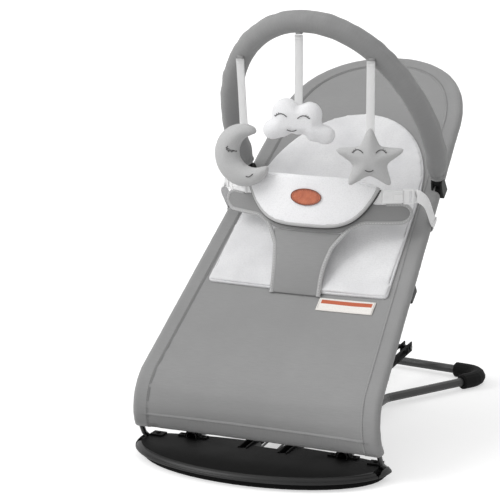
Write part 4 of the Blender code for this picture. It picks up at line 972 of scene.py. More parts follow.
def make_plate():
    """The plate with a rim in two tiers, narrower where it meets the pad.

    Each level of the rim is an inset from the outline and a height above the floor.
    """
    lip = ((plate_lip_inset, pad_height + 0.3 * MM), (plate_lip_inset, plate_lip_top))
    lower_tier = ((0.6 * MM, 11.4 * MM), (0, 12.2 * MM), (0.3 * MM, 14.2 * MM), (1 * MM, 15.2 * MM))
    upper_tier = ((2.3 * MM, 15.5 * MM), (2.7 * MM, 16.3 * MM), (3.6 * MM, 18 * MM), (5.6 * MM, 19.4 * MM))
    levels = lip + lower_tier + upper_tier + ((plate_rim_width, plate_top),)
    shape = bmesh.new()
    rings = [[shape.verts.new(point) for point in plate_ring(inset, height)] for inset, height in levels]
    for near, far in zip(rings, rings[1:]):
        bridge(shape, near, far)
    shape.faces.new(rings[0][::-1])
    shape.faces.new(rings[-1])
    bmesh.ops.recalc_face_normals(shape, faces=shape.faces)
    plate = finished("plate_shell", shape, [plate_plastic, rim_plastic_painted_highlight], "base", None, ["base_plate"])
    tools = plate_cutters()
    for tool in tools:
        step = plate.modifiers.new(tool.name, "BOOLEAN")
        step.object = tool
        step.solver = "EXACT"
    applied(plate)
    plate.data.set_sharp_from_angle(angle=math.radians(38))
    # The rim's faces above the lip take the lighter, glossier copy of the plastic, a painted highlight. The
    # top keeps the darker copy, painted shade.
    flat_width = plate_half_width - plate_rim_width
    for face in plate.data.polygons:
        x, y, z = face.center
        outer = math.hypot(x / flat_width, y / (plate_depth(y) - plate_rim_width)) > 1
        face.material_index = 1 if outer and z > plate_lip_top else 0
    for tool in tools:
        bpy.data.objects.remove(tool)


# Seat cover

def uneven(u, v, seed):
    """Smooth noise between -1 and 1 over flat places; a seed of its own keeps each use apart."""
    return noise.noise(Vector((u, v, seed)))


def cover_ripple(x, distance):
    """Soft unevenness of the stretched cloth, with faint folds where it turns over the lower bend."""
    soft = uneven(x * 9, distance * 7, 0.4) * 0.7 * MM
    fine = uneven(x * 34, distance * 12, 2.6) * 0.25 * MM
    bend = ease(distance, 20 * MM, 60 * MM) * (1 - ease(distance, 110 * MM, 190 * MM))
    wander = 2.5 * uneven(x * 7, distance * 5, 5.1)
    return soft + fine + math.sin(distance * 240 + wander) * 0.45 * MM * bend


def cover_level(x, distance):
    """The height of the cover's uneven upper face over the wires' plane."""
    return cover_top(x, distance) + cover_ripple(x, distance)


def make_cover():
    """The cover's sheet, from the hem at the foot end to the head arch."""
    distances = side_distances + [arch_start]
    distances += [arch_start + arch_length * math.sin(math.radians(turn)) for turn in range(3, 90, 3)]
    columns = 60
    rows, spots = [], []
    for distance in distances:
        width = rim_half_width(distance)
        xs = [width * math.sin(math.radians(-90 + 180 * column / columns)) for column in range(columns + 1)]
        rows.append([seat_point(distance, x, cover_level(x, distance)) for x in xs])
        spots.append([(x, distance) for x in xs])
    shape = bmesh.new()
    add_grid(shape, rows, spots)
    sheet = finished("cover_sheet", shape, grey_cloth, "seat", "grey_cloth", ["seat_cover"])
    thicken(sheet, sheet_thickness, -1)
    return sheet


def rim_plan():
    """The wires' line on the flat seat, as (x, distance): up the left side, over the head and down."""
    side = [hem_start] + side_distances[1:]
    left = [(-(side_width(distance) - hem_inset), distance) for distance in side]
    arch = []
    for turn in range(0, 181, 3):
        angle = math.radians(turn)
        x = -(seat_half_width_top - hem_inset) * math.cos(angle)
        arch.append((x, arch_start + arch_length * math.sin(angle)))
    return left + arch + [(-x, distance) for x, distance in left[::-1]]


def inward_ways(plan):
    """The way in from the rim at each of its points, on the flat seat."""
    found = []
    for (xa, da), (xb, db) in zip(plan[:1] + plan, plan[1:] + plan[-1:]):
        size = math.hypot(xb - xa, db - da)
        found.append(((db - da) / size, -(xb - xa) / size))
    return found


def rim_line(plan, inward, reach, side):
    """A seam over the cover's upper face (side 1) or under it (side -1), a reach in from the wires."""
    points = []
    for (x, distance), (in_x, in_distance) in zip(plan, inward):
        near_x = x + in_x * reach
        near = distance + in_distance * reach
        level = cover_top(near_x, min(near, seat_length - hem_inset)) + cover_ripple(near_x, near)
        lift = level + seam_lift if side > 0 else level - sheet_thickness - seam_lift
        points.append(seat_point(near, near_x, lift))
    return points


def hem_section(level, pucker, radius, reach):
    """A teardrop round a wire, as (inward, lift), from the sewn edge on top round to the one below."""
    upper = level + 0.5 * MM + pucker * 0.5
    lower = level - sheet_thickness - 0.6 * MM
    shares = (1.0, 0.8, 0.6, 0.4, 0.2)
    points = [(reach * share, upper + (radius - upper) * (1 - share) ** 1.5) for share in shares]
    for turn in range(0, 181, 18):
        angle = math.radians(turn)
        points.append((-radius * math.sin(angle), radius * math.cos(angle)))
    points += [(reach * share, lower - (radius + lower) * (1 - share) ** 1.5) for share in shares[::-1]]
    return points


def make_rim_hem():
    """The cover's edge, folded round the wires and sewn down."""
    plan = rim_plan()
    inward = inward_ways(plan)
    rings = []
    for index, ((x, distance), (in_x, in_distance)) in enumerate(zip(plan, inward)):
        edge = min(distance + in_distance * rim_hem_reach, seat_length - hem_inset)
        level = cover_top(x + in_x * rim_hem_reach, edge)
        pucker = uneven(index * 0.9, 0.2, 7.7) * 0.35 * MM
        clipped = 1 - 0.34 * (1 - ease(abs(distance - toy_clip_place), 9 * MM, 16 * MM))
        section = hem_section(level, pucker, (rim_hem_radius + pucker) * clipped, rim_hem_reach)
        rings.append([seat_point(distance + in_distance * a, x + in_x * a, lift) for a, lift in section])
    tube_piece("cover_rim_hem", rings, grey_cloth, "seat", "grey_cloth")
    seams = [rim_line(plan, inward, rim_hem_reach - 3 * MM, side) for side in (1, -1)]
    stitches("cover_rim_stitches", seams, "seat", grey_thread)


def make_foot_hem():
    """The hem round the bar at the foot end."""
    rings = []
    steps = 64
    reach = side_width(0) - hem_inset
    for step in range(steps + 1):
        x = reach * (2 * step / steps - 1)
        pucker = uneven(step * 0.7, 1.2, 3.7) * 0.4 * MM
        section = hem_section(cover_top(x, foot_hem_reach), pucker, foot_hem_radius + pucker, foot_hem_reach)
        rings.append([seat_point(a, x, lift) for a, lift in section])
    tube_piece("cover_foot_hem", rings, grey_cloth, "seat", "grey_cloth")
    seams = []
    near = foot_hem_reach - 3 * MM
    for out in (seam_lift, -sheet_thickness - seam_lift):
        xs = [reach * (step / 20 - 1) for step in range(1, 40)]
        seams.append([seat_point(near, x, cover_level(x, near) + out) for x in xs])
    stitches("cover_foot_stitches", seams, "seat", grey_thread)


# Insert and tag

def insert_outline(inset):
    """Half of a horseshoe and its mirror image, as (x, distance) pairs."""
    corner = 5 * MM
    foot = insert_half_width_bottom - inset
    half = [(foot * share, insert_start + inset) for share in (0.2, 0.4, 0.6, 0.8)]
    for turn in (0, 30, 60, 90):
        x = foot - corner + corner * math.sin(math.radians(turn))
        half.append((x, insert_start + inset + corner - corner * math.cos(math.radians(turn))))
    for share in (0.15, 0.3, 0.45, 0.6, 0.75, 0.9):
        x = insert_half_width_bottom + (insert_half_width_top - insert_half_width_bottom) * share - inset
        half.append((x, insert_start + (insert_arch - insert_start) * share))
    for turn in range(0, 90, 5):
        x = (insert_half_width_top - inset) * math.cos(math.radians(turn))
        half.append((x, insert_arch + (insert_end - inset - insert_arch) * math.sin(math.radians(turn))))
    mirrored = [(-x, distance) for x, distance in half]
    return half + [(0, insert_end - inset)] + mirrored[::-1] + [(0, insert_start + inset)]


def insert_place(x, distance, depth):
    """A place over the cover, for the unfilled cushion."""
    return seat_point(distance, x, cover_top(x, distance) + 0.7 * MM + depth)


def make_insert():
    """The cushion on the cover: a puffed pad with a flat sewn edge all round."""
    outline = insert_outline(-0.2 * MM)
    shape = pillow(outline, insert_place, lambda x, d: insert_fill, lambda x, d: 0)
    item = finished("insert_cushion", shape, pale_cloth, "seat", "pale_cloth", ["seat_insert"])

    def sewn(point):
        distance, x, lift = flat_place(point)
        return 1 - ease(edge_distance(x, distance, outline), 0.5 * MM, 7 * MM)

    def on_cover(point):
        """Keeps the underside on the cover and the top within the cushion's height, with soft dents."""
        distance, x, lift = flat_place(point)
        base = cover_top(x, distance) + insert_lift
        puff = uneven(x * 22, distance * 17, 1.5)
        puff += 0.6 * uneven(x * 45, distance * 38, 8.5)
        lift = max(base, min(lift, base + insert_most))
        if lift > base + 3 * MM:
            lift += puff * 1.7 * MM * ease(lift - base, 3 * MM, 7 * MM)
        return seat_point(distance, x, max(base, lift))

    stuff(item, voxel=4.5 * MM, pressure=2.5, most=6 * MM, limit=on_cover, held=sewn)
    edge = insert_outline(insert_edge_inset)
    edge = edge[-1:] + edge
    path = [seat_point(distance, x, cover_top(x, distance) + insert_edge_lift) for x, distance in edge]
    shape = bmesh.new()
    add_sweep(shape, path, oval(2.7 * MM, 1.9 * MM, 10))
    finished("insert_edge", shape, pale_cloth, "seat", "pale_cloth")


def flat_place(point):
    """The distance along the seat, x and lift of a point near the straight back or the head."""
    offset = point - hinge
    distance = lower_length + offset.dot(back_direction) - seat_start
    lift = offset.dot(back_normal) - seat_lift
    if distance > back_end:
        spoke = point - head_bend_centre
        turn = math.atan2(spoke.dot(back_direction), spoke.dot(back_normal))
        distance = back_end + head_bend_radius * turn
        lift = math.hypot(spoke.dot(back_direction), spoke.dot(back_normal)) - head_bend_radius
    return distance, point.x, lift


def make_tag():
    """A plain sewn label of banded tape."""
    lines = 8
    acrosses = between(0, tag_width, 24)
    rows, spots = [], []
    for line in range(lines + 1):
        along = tag_length * line / lines
        distance = tag_place - tag_length / 2 + along
        row = []
        for across in acrosses:
            x = tag_left + across
            wave = 0.35 * MM * math.sin(across * 90) * math.sin(math.pi * line / lines)
            level = cover_level(x, distance)
            row.append(seat_point(distance, x, level + 1 * MM + wave))
        rows.append(row)
        spots.append([(across, along) for across in acrosses])
    shape = bmesh.new()
    add_grid(shape, rows, spots)
    tag = finished("tag_sheet", shape, tag_cloth, "seat", "tag_cloth", ["sewn_tag"])
    thicken(tag, tag_thickness, 0)
    seams = []
    for across in (2 * MM, tag_width - 2 * MM):
        x = tag_left + across
        ends = [tag_place + side * (tag_length / 2 - 2 * MM) for side in (-1, 1)]
        seams.append([seat_point(distance, x, cover_top(x, distance) + 1.9 * MM) for distance in ends])
    stitches("tag_stitches", seams, "seat", white_thread, pitch=2.4 * MM, length=1.7 * MM, radius=0.3 * MM)


# Harness

def quilted_panel(name, rows, thickness, edge, swell, out_way, replaces):
    """A thin padded panel through rows of middle points, fuller in its middle than at its edges."""
    lines, columns = len(rows), len(rows[0])
    front, back = [], []
    for line, row in enumerate(rows):
        near, far = [], []
        for column, point in enumerate(row):
            inside = min(line, lines - 1 - line, column, columns - 1 - column)
            full = edge + (thickness - edge) * min(1, inside / 2)
            puff = swell * uneven(point.x * 30, point.z * 30, 4.4)
            near.append(point + out_way(point) * (full / 2 + puff))
            far.append(point - out_way(point) * full / 2)
        front.append(near)
        back.append(far)
    shape = bmesh.new()
    spots = [[(value, 4 * MM * line) for value in running_lengths(row)] for line, row in enumerate(rows)]
    near = add_grid(shape, front, spots)
    far = add_grid(shape, back, spots)
    edges = [(line, column, line + 1, column) for line in range(lines - 1) for column in (0, columns - 1)]
    edges += [(line, column, line, column + 1) for column in range(columns - 1) for line in (0, lines - 1)]
    for line, column, next_line, next_column in edges:
        shape.faces.new((near[line][column], near[next_line][next_column],
                         far[next_line][next_column], far[line][column]))
    bmesh.ops.recalc_face_normals(shape, faces=shape.faces)
    item = finished(name, shape, grey_cloth, "seat", "grey_cloth", replaces)
    refine(item)


def standing_out(point):
    """The way out from the sitter, at a point of the harness."""
    return (standing_point(point.x, point.z, 1.0) - standing_point(point.x, point.z)).normalized()


def make_stem():
    """The crotch panel, sewn to the cover at its foot and to the waist band at its top."""
    rows = []
    for line in range(23):
        rows.append([stem_point(line / 22, column / 8 - 1) for column in range(17)])
    quilted_panel("stem_panel", rows, stem_thickness, stem_edge, swell=0.5 * MM,
                  out_way=lambda point: -Y_AXIS, replaces=["crotch_stem"])


def spread(half_width, steps):
    """Values of x from one side to the other, closer together towards the sides."""
    return [-half_width * math.cos(math.pi * step / steps) for step in range(steps + 1)]


def make_band():
    """The waist band with its two wings."""
    rows = []
    for line in range(13):
        row = []
        for x in spread(band_half_width, 56):
            low, high = band_edges(x)
            row.append(standing_point(x, low + (high - low) * (line / 12), -band_thickness / 2))
        rows.append(row)
    quilted_panel("band_panel", rows, band_thickness - 0.6 * MM, band_edge, swell=0.3 * MM,
                  out_way=standing_out, replaces=["waist_band"])


def edge_tape(name, path, side, material, half_width, half_height):
    """Binding tape folded over an edge."""
    shape = bmesh.new()
    add_sweep(shape, path, oval(half_width, half_height, 12), side)
    finished(name, shape, material, "seat")


def wing_edge(side):
    """A wing's edge: out along its low side, round its end and back along its high side."""
    low_xs = between(wing_tape_start, wing_straight, 9)[:-1]
    round_xs = [wing_straight + wing_round * math.sin(math.radians(turn)) for turn in (0, 22, 44, 66)]
    points = [(x, band_edges(x)[0]) for x in low_xs + round_xs]
    points.append((band_half_width + 0.3 * MM, sum(band_edges(band_half_width)) / 2))
    high_xs = round_xs[::-1] + [wing_straight - 10 * MM, wing_straight - 19 * MM]
    points += [(x, band_edges(x)[1]) for x in high_xs]
    return [standing_point(side * x, height, -band_thickness / 2 + 0.8 * MM) for x, height in points]


def make_bindings():
    """One tape on each side: up the stem's edge, out under the wing and round its end."""
    for name, side in SIDES:
        path = [stem_point(share / 20, side * 1.0, 0.8 * MM) for share in range(0, 18, 2)]
        path = smooth_path(path + wing_edge(side), 4)
        edge_tape("band_binding_" + name, path, X_AXIS, binding_tape, binding_half_width, binding_half_height)
        seam = [point + Vector((0, -2.2 * MM, 0)) for point in path[2:-2]]
        stitches("band_binding_stitches_" + name, [seam], "seat", white_thread, radius=0.35 * MM)


def bib_outline(inset):
    """The bib's outline as (x, height): round the bottom from left to right, then back along the top."""
    lower, upper = [], []
    for x in spread(bib_half_width - inset, 32):
        low, high = bib_edges(x * bib_half_width / (bib_half_width - inset))
        lower.append((x, low + inset))
        upper.append((x, high - inset * 0.5))
    return lower + upper[::-1][1:-1]


def make_bib():
    """The white bib: a stuffed pad with a light binding round its lower edge, and a dark cord just outside it
    that paints the shadow line under the binding.
    """
    outline = bib_outline(0.2 * MM)
    shape = pillow(outline, lambda x, z, depth: standing_point(x, z, bib_gap + depth),
                   lambda x, z: bib_fill, lambda x, z: 0)
    item = finished("bib_cushion", shape, bib_cloth, "seat", "pale_cloth", ["bib_pad"])

    def before_band(point):
        """Keeps the bib in front of the waist band, and no thicker than it is sewn."""
        surface = standing_point(point.x, point.z)
        out_way = standing_out(point)
        out = (point - surface).dot(out_way)
        return point + out_way * (max(bib_least, min(out, bib_most)) - out)

    def sewn(point):
        return 1 - ease(edge_distance(point.x, point.z, outline), 3 * MM, 12 * MM)

    stuff(item, voxel=3.3 * MM, pressure=3.0, most=5 * MM, limit=before_band, held=sewn)
    binding, shadow_cord = [], []
    for x in spread(bib_half_width, 60):
        low, high = bib_edges(x)
        binding.append(standing_point(x * 0.98, low + bib_binding_rise, bib_binding_lift))
        shadow_cord.append(standing_point(x * 1.012, low - bib_shadow_cord_drop, bib_shadow_cord_lift))
    top = [standing_point(x, bib_edges(x)[1] - 1 * MM, 3.2 * MM) for x in spread(bib_half_width * 0.97, 30)]
    edge_tape("bib_binding", binding, Z_AXIS, pale_binding, half_width=3.3 * MM, half_height=3.4 * MM)
    # The dark cord just outside the binding is painted shadow, the shade line under the binding's edge.
    edge_tape("bib_shadow_cord", shadow_cord, Z_AXIS, painted_shadow_cord, half_width=1.2 * MM, half_height=1.2 * MM)
    edge_tape("bib_top_edge", top, Z_AXIS, bib_cloth, half_width=2.4 * MM, half_height=2 * MM)
    return item


def make_patch(bib):
    """A domed leather oval with a darker rim and a line of stitches."""
    find = surface_finder(bib)

    def place(x, height, depth):
        start = standing_point(x, height, 40 * MM)
        spot = find(start, -standing_out(start))
        return spot + standing_out(spot) * (0.2 * MM + depth)

    def oval_points(share):
        width = patch_half_width * share
        height = patch_half_height * share
        return [(width * math.cos(turn), patch_height + height * math.sin(turn)) for turn in circle_turns(56)]

    def closed_line(share, depth):
        line = [place(x, height, depth) for x, height in oval_points(share)]
        return line + line[:1]

    shape = pillow(oval_points(1), place, lambda x, z: 1.4 * MM, lambda x, z: 0.4 * MM,
                   factors=(1, 0.97, 0.9, 0.6, 0.3))
    finished("patch_oval", shape, patch_leather, "seat", "patch_leather", ["leather_patch"])
    shape = bmesh.new()
    add_sweep(shape, closed_line(0.985, 1.1 * MM), oval(1.1 * MM, 0.8 * MM, 8), Z_AXIS)
    finished("patch_rim", shape, patch_edge, "seat", "patch_leather")
    seam = closed_line(0.86, 1.6 * MM)
    stitches("patch_stitches", [seam], "seat", patch_edge, pitch=3 * MM, length=2 * MM, radius=0.35 * MM)


def buckle_turn(side):
    """The buckles are turned with the slope of the band's wings."""
    slope = math.atan2(2 * (band_side_y - band_front_y) * buckle_centre_x, band_half_width ** 2)
    return Matrix.Rotation(side * slope, 3, "Z")


def buckle_place(side):
    """The middle of a buckle."""
    return standing_point(side * buckle_centre_x, buckle_centre_z)


def add_block(shape, size, centre, rounding, segments=3):
    """A box with rounded edges, added to a bmesh."""
    made = bmesh.ops.create_cube(shape, size=1.0)["verts"]
    bmesh.ops.scale(shape, vec=Vector(size), verts=made)
    bmesh.ops.translate(shape, vec=Vector(centre), verts=made)
    edges = {edge for vertex in made for edge in vertex.link_edges}
    bmesh.ops.bevel(shape, geom=list(edges), offset=rounding, segments=segments, profile=0.6, affect="EDGES")


def make_buckles():
    """Front-release buckles: a socket with a framed button, a tongue end, and strap bars at both ends."""
    socket = 31 * MM
    tongue = buckle_length - socket - 0.8 * MM
    face = buckle_depth / 2
    for name, side in SIDES:
        shape = bmesh.new()
        inner = -side * (buckle_length - socket) / 2
        outer = side * (buckle_length - tongue) / 2
        add_block(shape, (socket, buckle_depth, buckle_height), (inner, 0, 0), 2.6 * MM)
        add_block(shape, (tongue * 0.55, buckle_depth * 0.8, buckle_height * 0.92),
                  (outer - side * tongue * 0.2, 0, 0), 1.8 * MM)
        for end in (side * (buckle_length / 2 - 1.5 * MM), -side * (buckle_length / 2 - 1.2 * MM)):
            add_block(shape, (3 * MM, buckle_depth * 0.7, buckle_height * 1.12), (end, 0, 0), 1.4 * MM)
        for level in (-1, 1):
            tongue_side = (outer, 0, level * buckle_height * 0.5)
            add_block(shape, (tongue, buckle_depth * 0.6, 3 * MM), tongue_side, 1.3 * MM)
            add_block(shape, (18 * MM, 1.4 * MM, 1.5 * MM), (0, -face, level * 6.4 * MM), 0.6 * MM, 2)
            for rib in range(3):
                rib_place = (inner - side * (7 + 2.4 * rib) * MM, level * face, 0)
                add_block(shape, (1.1 * MM, 1.2 * MM, 8 * MM), rib_place, 0.5 * MM, 2)
        for end in (-1, 1):
            add_block(shape, (1.5 * MM, 1.4 * MM, 13 * MM), (end * 8.6 * MM, -face, 0), 0.6 * MM, 2)
        turn = buckle_turn(side).to_4x4()
        turn.translation = buckle_place(side)
        bmesh.ops.transform(shape, matrix=turn, verts=shape.verts)
        node = "buckle_" + name
        item = finished("buckle_body_" + name, shape, white_plastic, "seat", "buckle_plastic", [node])
        item.data.set_sharp_from_angle(angle=math.radians(45))


def add_webbing(shape, path, widths):
    """A flat strap along a path; widths gives the direction of its width at each point."""
    upper = [(-0.97, 0.7), (-0.9, 1), (0.9, 1), (0.97, 0.7)]
    section = [(-1, 0)] + upper + [(1, 0)] + [(-u, -v) for u, v in upper]
    rings = []
    for point, ahead, way in zip(path, ways_ahead(path), widths):
        across = (way - ahead * way.dot(ahead)).normalized() * webbing_width / 2
        up = ahead.cross(across).normalized() * webbing_thickness / 2
        rings.append(section_ring(point, across, up, section))
    add_tube(shape, rings)


def make_straps():
    """Webbing from each buckle over the side of the seat and back under it."""
    onward, outward = seat_lines(strap_place)[1:]
    hem_x = side_width(strap_place) - hem_inset
    wrap = hem_inset + webbing_thickness / 2 + 2 * MM
    for name, side in SIDES:
        away = buckle_turn(side) @ Vector((side, 0, 0))
        top = buckle_place(side) + away * (buckle_length / 2 - 1 * MM)
        points = [top, top + away * 3.3 * MM, top + away * 8.3 * MM]
        points.append(top + Vector((side * 16.3, 15, -12)) * MM)  # free, on its way to the rim
        for turn in (35, 10, -20, -50, -80):
            angle = math.radians(turn)
            x = side * (hem_x + wrap * math.cos(angle))
            points.append(seat_point(strap_place, x, wrap * math.sin(angle)))
        points.append(seat_point(strap_place, side * (hem_x - strap_tail / 2), -wrap))
        points.append(seat_point(strap_place, side * (hem_x - strap_tail), -wrap + 3 * MM))
        path = smooth_path(points, 6)
        shape = bmesh.new()
        turned = [ease(index / len(path), 0, 0.35) for index in range(len(path))]
        add_webbing(shape, path, [Z_AXIS.lerp(onward, share) for share in turned])
        start = buckle_place(side) - away * (buckle_length / 2 - 2 * MM)
        inner_path = [start, start - away * 5 * MM, start - away * 13 * MM + Y_AXIS * 1.5 * MM,
                      start - away * 24 * MM + Y_AXIS * 4 * MM]
        inner_path = smooth_path(inner_path, 4)
        add_webbing(shape, inner_path, [Z_AXIS] * len(inner_path))
        finished("webbing_" + name, shape, white_tape, "seat", "webbing", ["harness_strap_" + name])
        box_line = [path[-4] + onward * u * MM + X_AXIS * side * v * MM - outward * 1.3 * MM
                    for u, v in ((-7, 0), (7, 0), (7, 9), (-7, 9), (-7, 0))]
        stitches("webbing_stitches_" + name, [box_line], "seat", white_thread,
                 pitch=2.6 * MM, length=1.9 * MM)


# Toy bar

def bar_path():
    """The sleeve's middle line, from the right foot over the top to the left foot."""
    half = []
    for height in between(bar_sleeve_start, bar_straight, 7)[:-1]:
        share = height / bar_straight
        half.append((bar_foot_half_width + (bar_half_width - bar_foot_half_width) * share, height))
    arch = []
    for turn in between(0, math.pi, 60):
        height = bar_straight + (bar_height - bar_straight) * math.sin(turn)
        arch.append((bar_half_width * math.cos(turn), height))
    flat = half + arch + [(-x, height) for x, height in half[::-1]]
    return smooth_path([bar_pivot + X_AXIS * x + bar_upward * height for x, height in flat], 3)


def make_sleeve():
    """The padded sleeve: a stuffed tube with a lengthwise seam and folds on the inside of the bend."""
    path = bar_path()
    along = running_lengths(path)
    front = X_AXIS.cross(bar_upward)
    rings = []
    for point, ahead, reach in zip(path, ways_ahead(path), along):
        inward = ahead.cross(front).normalized()
        end = min(reach, along[-1] - reach)
        full = bar_sleeve_foot_radius + (bar_sleeve_radius - bar_sleeve_foot_radius) * ease(end, 0, 30 * MM)
        gather = 1 - 0.55 * ease(end, 0, 46 * MM)
        wander = 2 * uneven(reach * 30, 0.5, 0.5)
        ring = []
        for turn in circle_turns(28):
            toward = math.cos(turn)
            wave = uneven(reach * 62, math.sin(turn) * 1.3, 3.0)
            folds = (0.5 * MM + 1.1 * MM * max(0.0, toward) ** 1.5) * wave
            pleats = 0.8 * MM * gather * math.sin(turn * 9 + wander) * (1 - ease(end, 20 * MM, 60 * MM))
            seam = sum(-1.6 * MM * math.exp(-((turn - place) / 0.12) ** 2) for place in (0, 2 * math.pi))
            radius = full + folds + pleats + seam * ease(end, 0, 20 * MM)
            ring.append(point + (inward * toward + front * math.sin(turn)) * radius)
        rings.append(ring)
    sleeve = tube_piece("sleeve_cloth", rings, grey_cloth, "toy_bar", "grey_cloth", ["toy_bar_sleeve"])
    make_sleeve_cuffs(path, front)
    make_tabs()


def make_sleeve_cuffs(path, front):
    """A turned hem with stitches at each foot of the sleeve."""
    shape = bmesh.new()
    seams = []
    for centre, near in ((path[1], path[3]), (path[-2], path[-4])):
        ahead = (near - centre).normalized()
        inward = ahead.cross(front).normalized()
        ways = [inward * math.cos(turn) + front * math.sin(turn) for turn in between(0, 2 * math.pi, 32)]
        loop = [centre + way * (bar_sleeve_foot_radius + 0.3 * MM) for way in ways]
        add_sweep(shape, loop, oval(1.6 * MM, 1.6 * MM, 8), ahead)
        seams.append([centre + ahead * 7 * MM + way * (bar_sleeve_foot_radius + 1.6 * MM) for way in ways])
    finished("sleeve_cuffs", shape, grey_cloth, "toy_bar", "grey_cloth")
    stitches("sleeve_stitches", seams, "toy_bar", grey_thread, pitch=3.4 * MM, length=2.3 * MM)


def make_tabs():
    """A short grey loop of tape on the sleeve for each toy."""
    shape = bmesh.new()
    half = tab_width / 2
    section = ((half, 1), (half, -1), (-half, -1), (-half, 1))
    for name, (x, outward) in toy_places.items():
        root = bar_place(x) + outward * 14 * MM
        reach = toy_hinge(name) - outward * 1.4 * MM - root
        across = (X_AXIS - outward * outward.x).normalized()
        up = across.cross(outward)
        turns = between(0, math.pi, 12)
        path = [root + reach * math.sin(turn) - up * 2.2 * MM * math.cos(turn) for turn in turns]
        rings = []
        for point, ahead in zip(path, ways_ahead(path)):
            flat = ahead.cross(across).normalized() * 0.45 * MM
            rings.append(section_ring(point, across, flat, section))
        add_tube(shape, rings)
    finished("sleeve_tabs", shape, grey_tape, "toy_bar", "grey_cloth")


# Toys

def make_ribbon(name):
    """A ribbon from its tab to the toy, hanging with a slight curl. Gives the toy's place."""
    top = toy_hinge(name)
    low = top - Z_AXIS * (ribbon_length + ribbon_sewn_in[name])
    if name == "moon":
        low += X_AXIS * moon_slide
    upper = [(1, 0.5), (0.94, 1), (-0.94, 1), (-1, 0.5)]
    section = [(-u, -v) for u, v in upper] + upper
    phase = ribbon_phase[name]
    rings = []
    for share in between(0, 1, 24):
        bow = math.sin(math.pi * share)
        centre = top.lerp(low, share) + Y_AXIS * 0.9 * MM * bow * math.sin(phase)
        twist = math.radians(5) * bow * math.cos(phase)
        across = Matrix.Rotation(twist, 3, "Z") @ X_AXIS * ribbon_width / 2
        thick = 1.9 if share < 0.09 or share > 0.93 else 1.0
        flat = Z_AXIS.cross(across).normalized() * ribbon_thickness / 2 * thick
        rings.append(section_ring(centre, across, flat, section))
    tube_piece("ribbon_" + name, rings, ribbon_tape, name, "webbing", [name + "_ribbon"])
    seams = []
    for drop in (3 * MM, 7 * MM):
        centre = top - Z_AXIS * drop - Y_AXIS * 1.3 * MM
        seams.append([centre - X_AXIS * 5 * MM, centre + X_AXIS * 5 * MM])
    stitches("ribbon_stitches_" + name, seams, name, white_thread,
             pitch=1.6 * MM, length=1.3 * MM, radius=0.3 * MM)
    return top - Z_AXIS * ribbon_length


def edge_distance(u, v, outline):
    """How far a point is from a closed outline."""
    best = math.inf
    for (ua, va), (ub, vb) in zip(outline, outline[1:] + outline[:1]):
        du, dv = ub - ua, vb - va
        share = min(1, max(0, ((u - ua) * du + (v - va) * dv) / (du * du + dv * dv)))
        best = min(best, math.hypot(u - ua - du * share, v - va - dv * share))
    return best


def star_outline():
    """Five straight-sided points; the stuffing rounds their tips."""
    points = []
    fifth = math.pi / 5
    side = star_radius * star_inner_radius * math.sin(fifth)
    for turn in circle_turns(90):
        near = abs((turn + fifth) % (2 * fifth) - fifth)
        radius = side / (star_radius * math.sin(near) + star_inner_radius * math.sin(fifth - near))
        radius = min(radius, star_tip_radius)
        points.append((radius * math.sin(turn), radius * math.cos(turn) * star_squash))
    return points


def cloud_outline():
    """The outer line round seven lobes, each given by its centre and radius as shares of the width."""
    lobes = (
        (-0.34, -0.12, 0.15), (0.37, -0.19, 0.14), (-0.16, 0.1, 0.21), (0.14, 0.07, 0.2),
        (-0.21, -0.1, 0.15), (0.21, -0.17, 0.135), (0, -0.08, 0.15),
    )
    points = []
    for turn in circle_turns(88):
        u, v = math.sin(turn), math.cos(turn)
        reach = 0.0
        for lobe_u, lobe_v, radius in lobes:
            along = lobe_u * u + lobe_v * v
            inside = radius ** 2 - (lobe_u ** 2 + lobe_v ** 2 - along ** 2)
            if inside > 0:
                reach = max(reach, along + math.sqrt(inside))
        points.append((reach * u * cloud_width * 0.98, reach * v * cloud_width * 0.98))
    return points


class Toy:
    """A stuffed toy's flat plane: where it hangs and how it is turned."""

    def __init__(self, name, centre, yaw, material):
        self.name = name
        self.centre = centre
        self.turn = Matrix.Rotation(yaw, 3, "Z")
        self.material = material
        self.item = None

    def place(self, u, v, depth):
        """Where a point lies that is across, up and out of the toy's plane."""
        return self.centre + self.turn @ Vector((u, -depth, v))

    def depth(self, point):
        """How far a point is out of the toy's plane."""
        return -(self.turn.transposed() @ (point - self.centre)).y

    def stuffed(self, shape):
        """Makes the toy's body from its unfilled form."""
        item = finished(self.name + "_plush", shape, self.material, self.name,
                        "pale_plush" if self.name == "cloud" else "grey_plush", [self.name + "_toy"])

        def within(point):
            over = abs(self.depth(point)) - toy_half_thickness - 1 * MM
            if over <= 0:
                return point
            return point + self.turn @ Vector((0, math.copysign(over, self.depth(point)), 0))

        stuff(item, voxel=3.6 * MM, pressure=5.0, most=6 * MM, limit=within)
        crease(item, self.depth, depth=1.5 * MM, width=1.8 * MM)
        self.item = item

    def sewn_line(self, shape, points, radius=lid_radius):
        """A thread line on the toy's front, through flat (u, v) points."""
        find = surface_finder(self.item)
        front = self.turn @ Vector((0, 1, 0))
        path = []
        for u, v in points:
            spot = find(self.place(u, v, 60 * MM), front)
            path.append(spot - front * 0.35 * MM)
        add_sweep(shape, smooth_path(path, 3), oval(radius, radius, 6), Z_AXIS)


def arc_points(centre, half_width, rise):
    """A shallow arc: its ends at the centre's level, its middle raised."""
    shares = between(-1, 1, 8)
    return [(centre[0] + half_width * share, centre[1] + rise * (1 - share * share)) for share in shares]


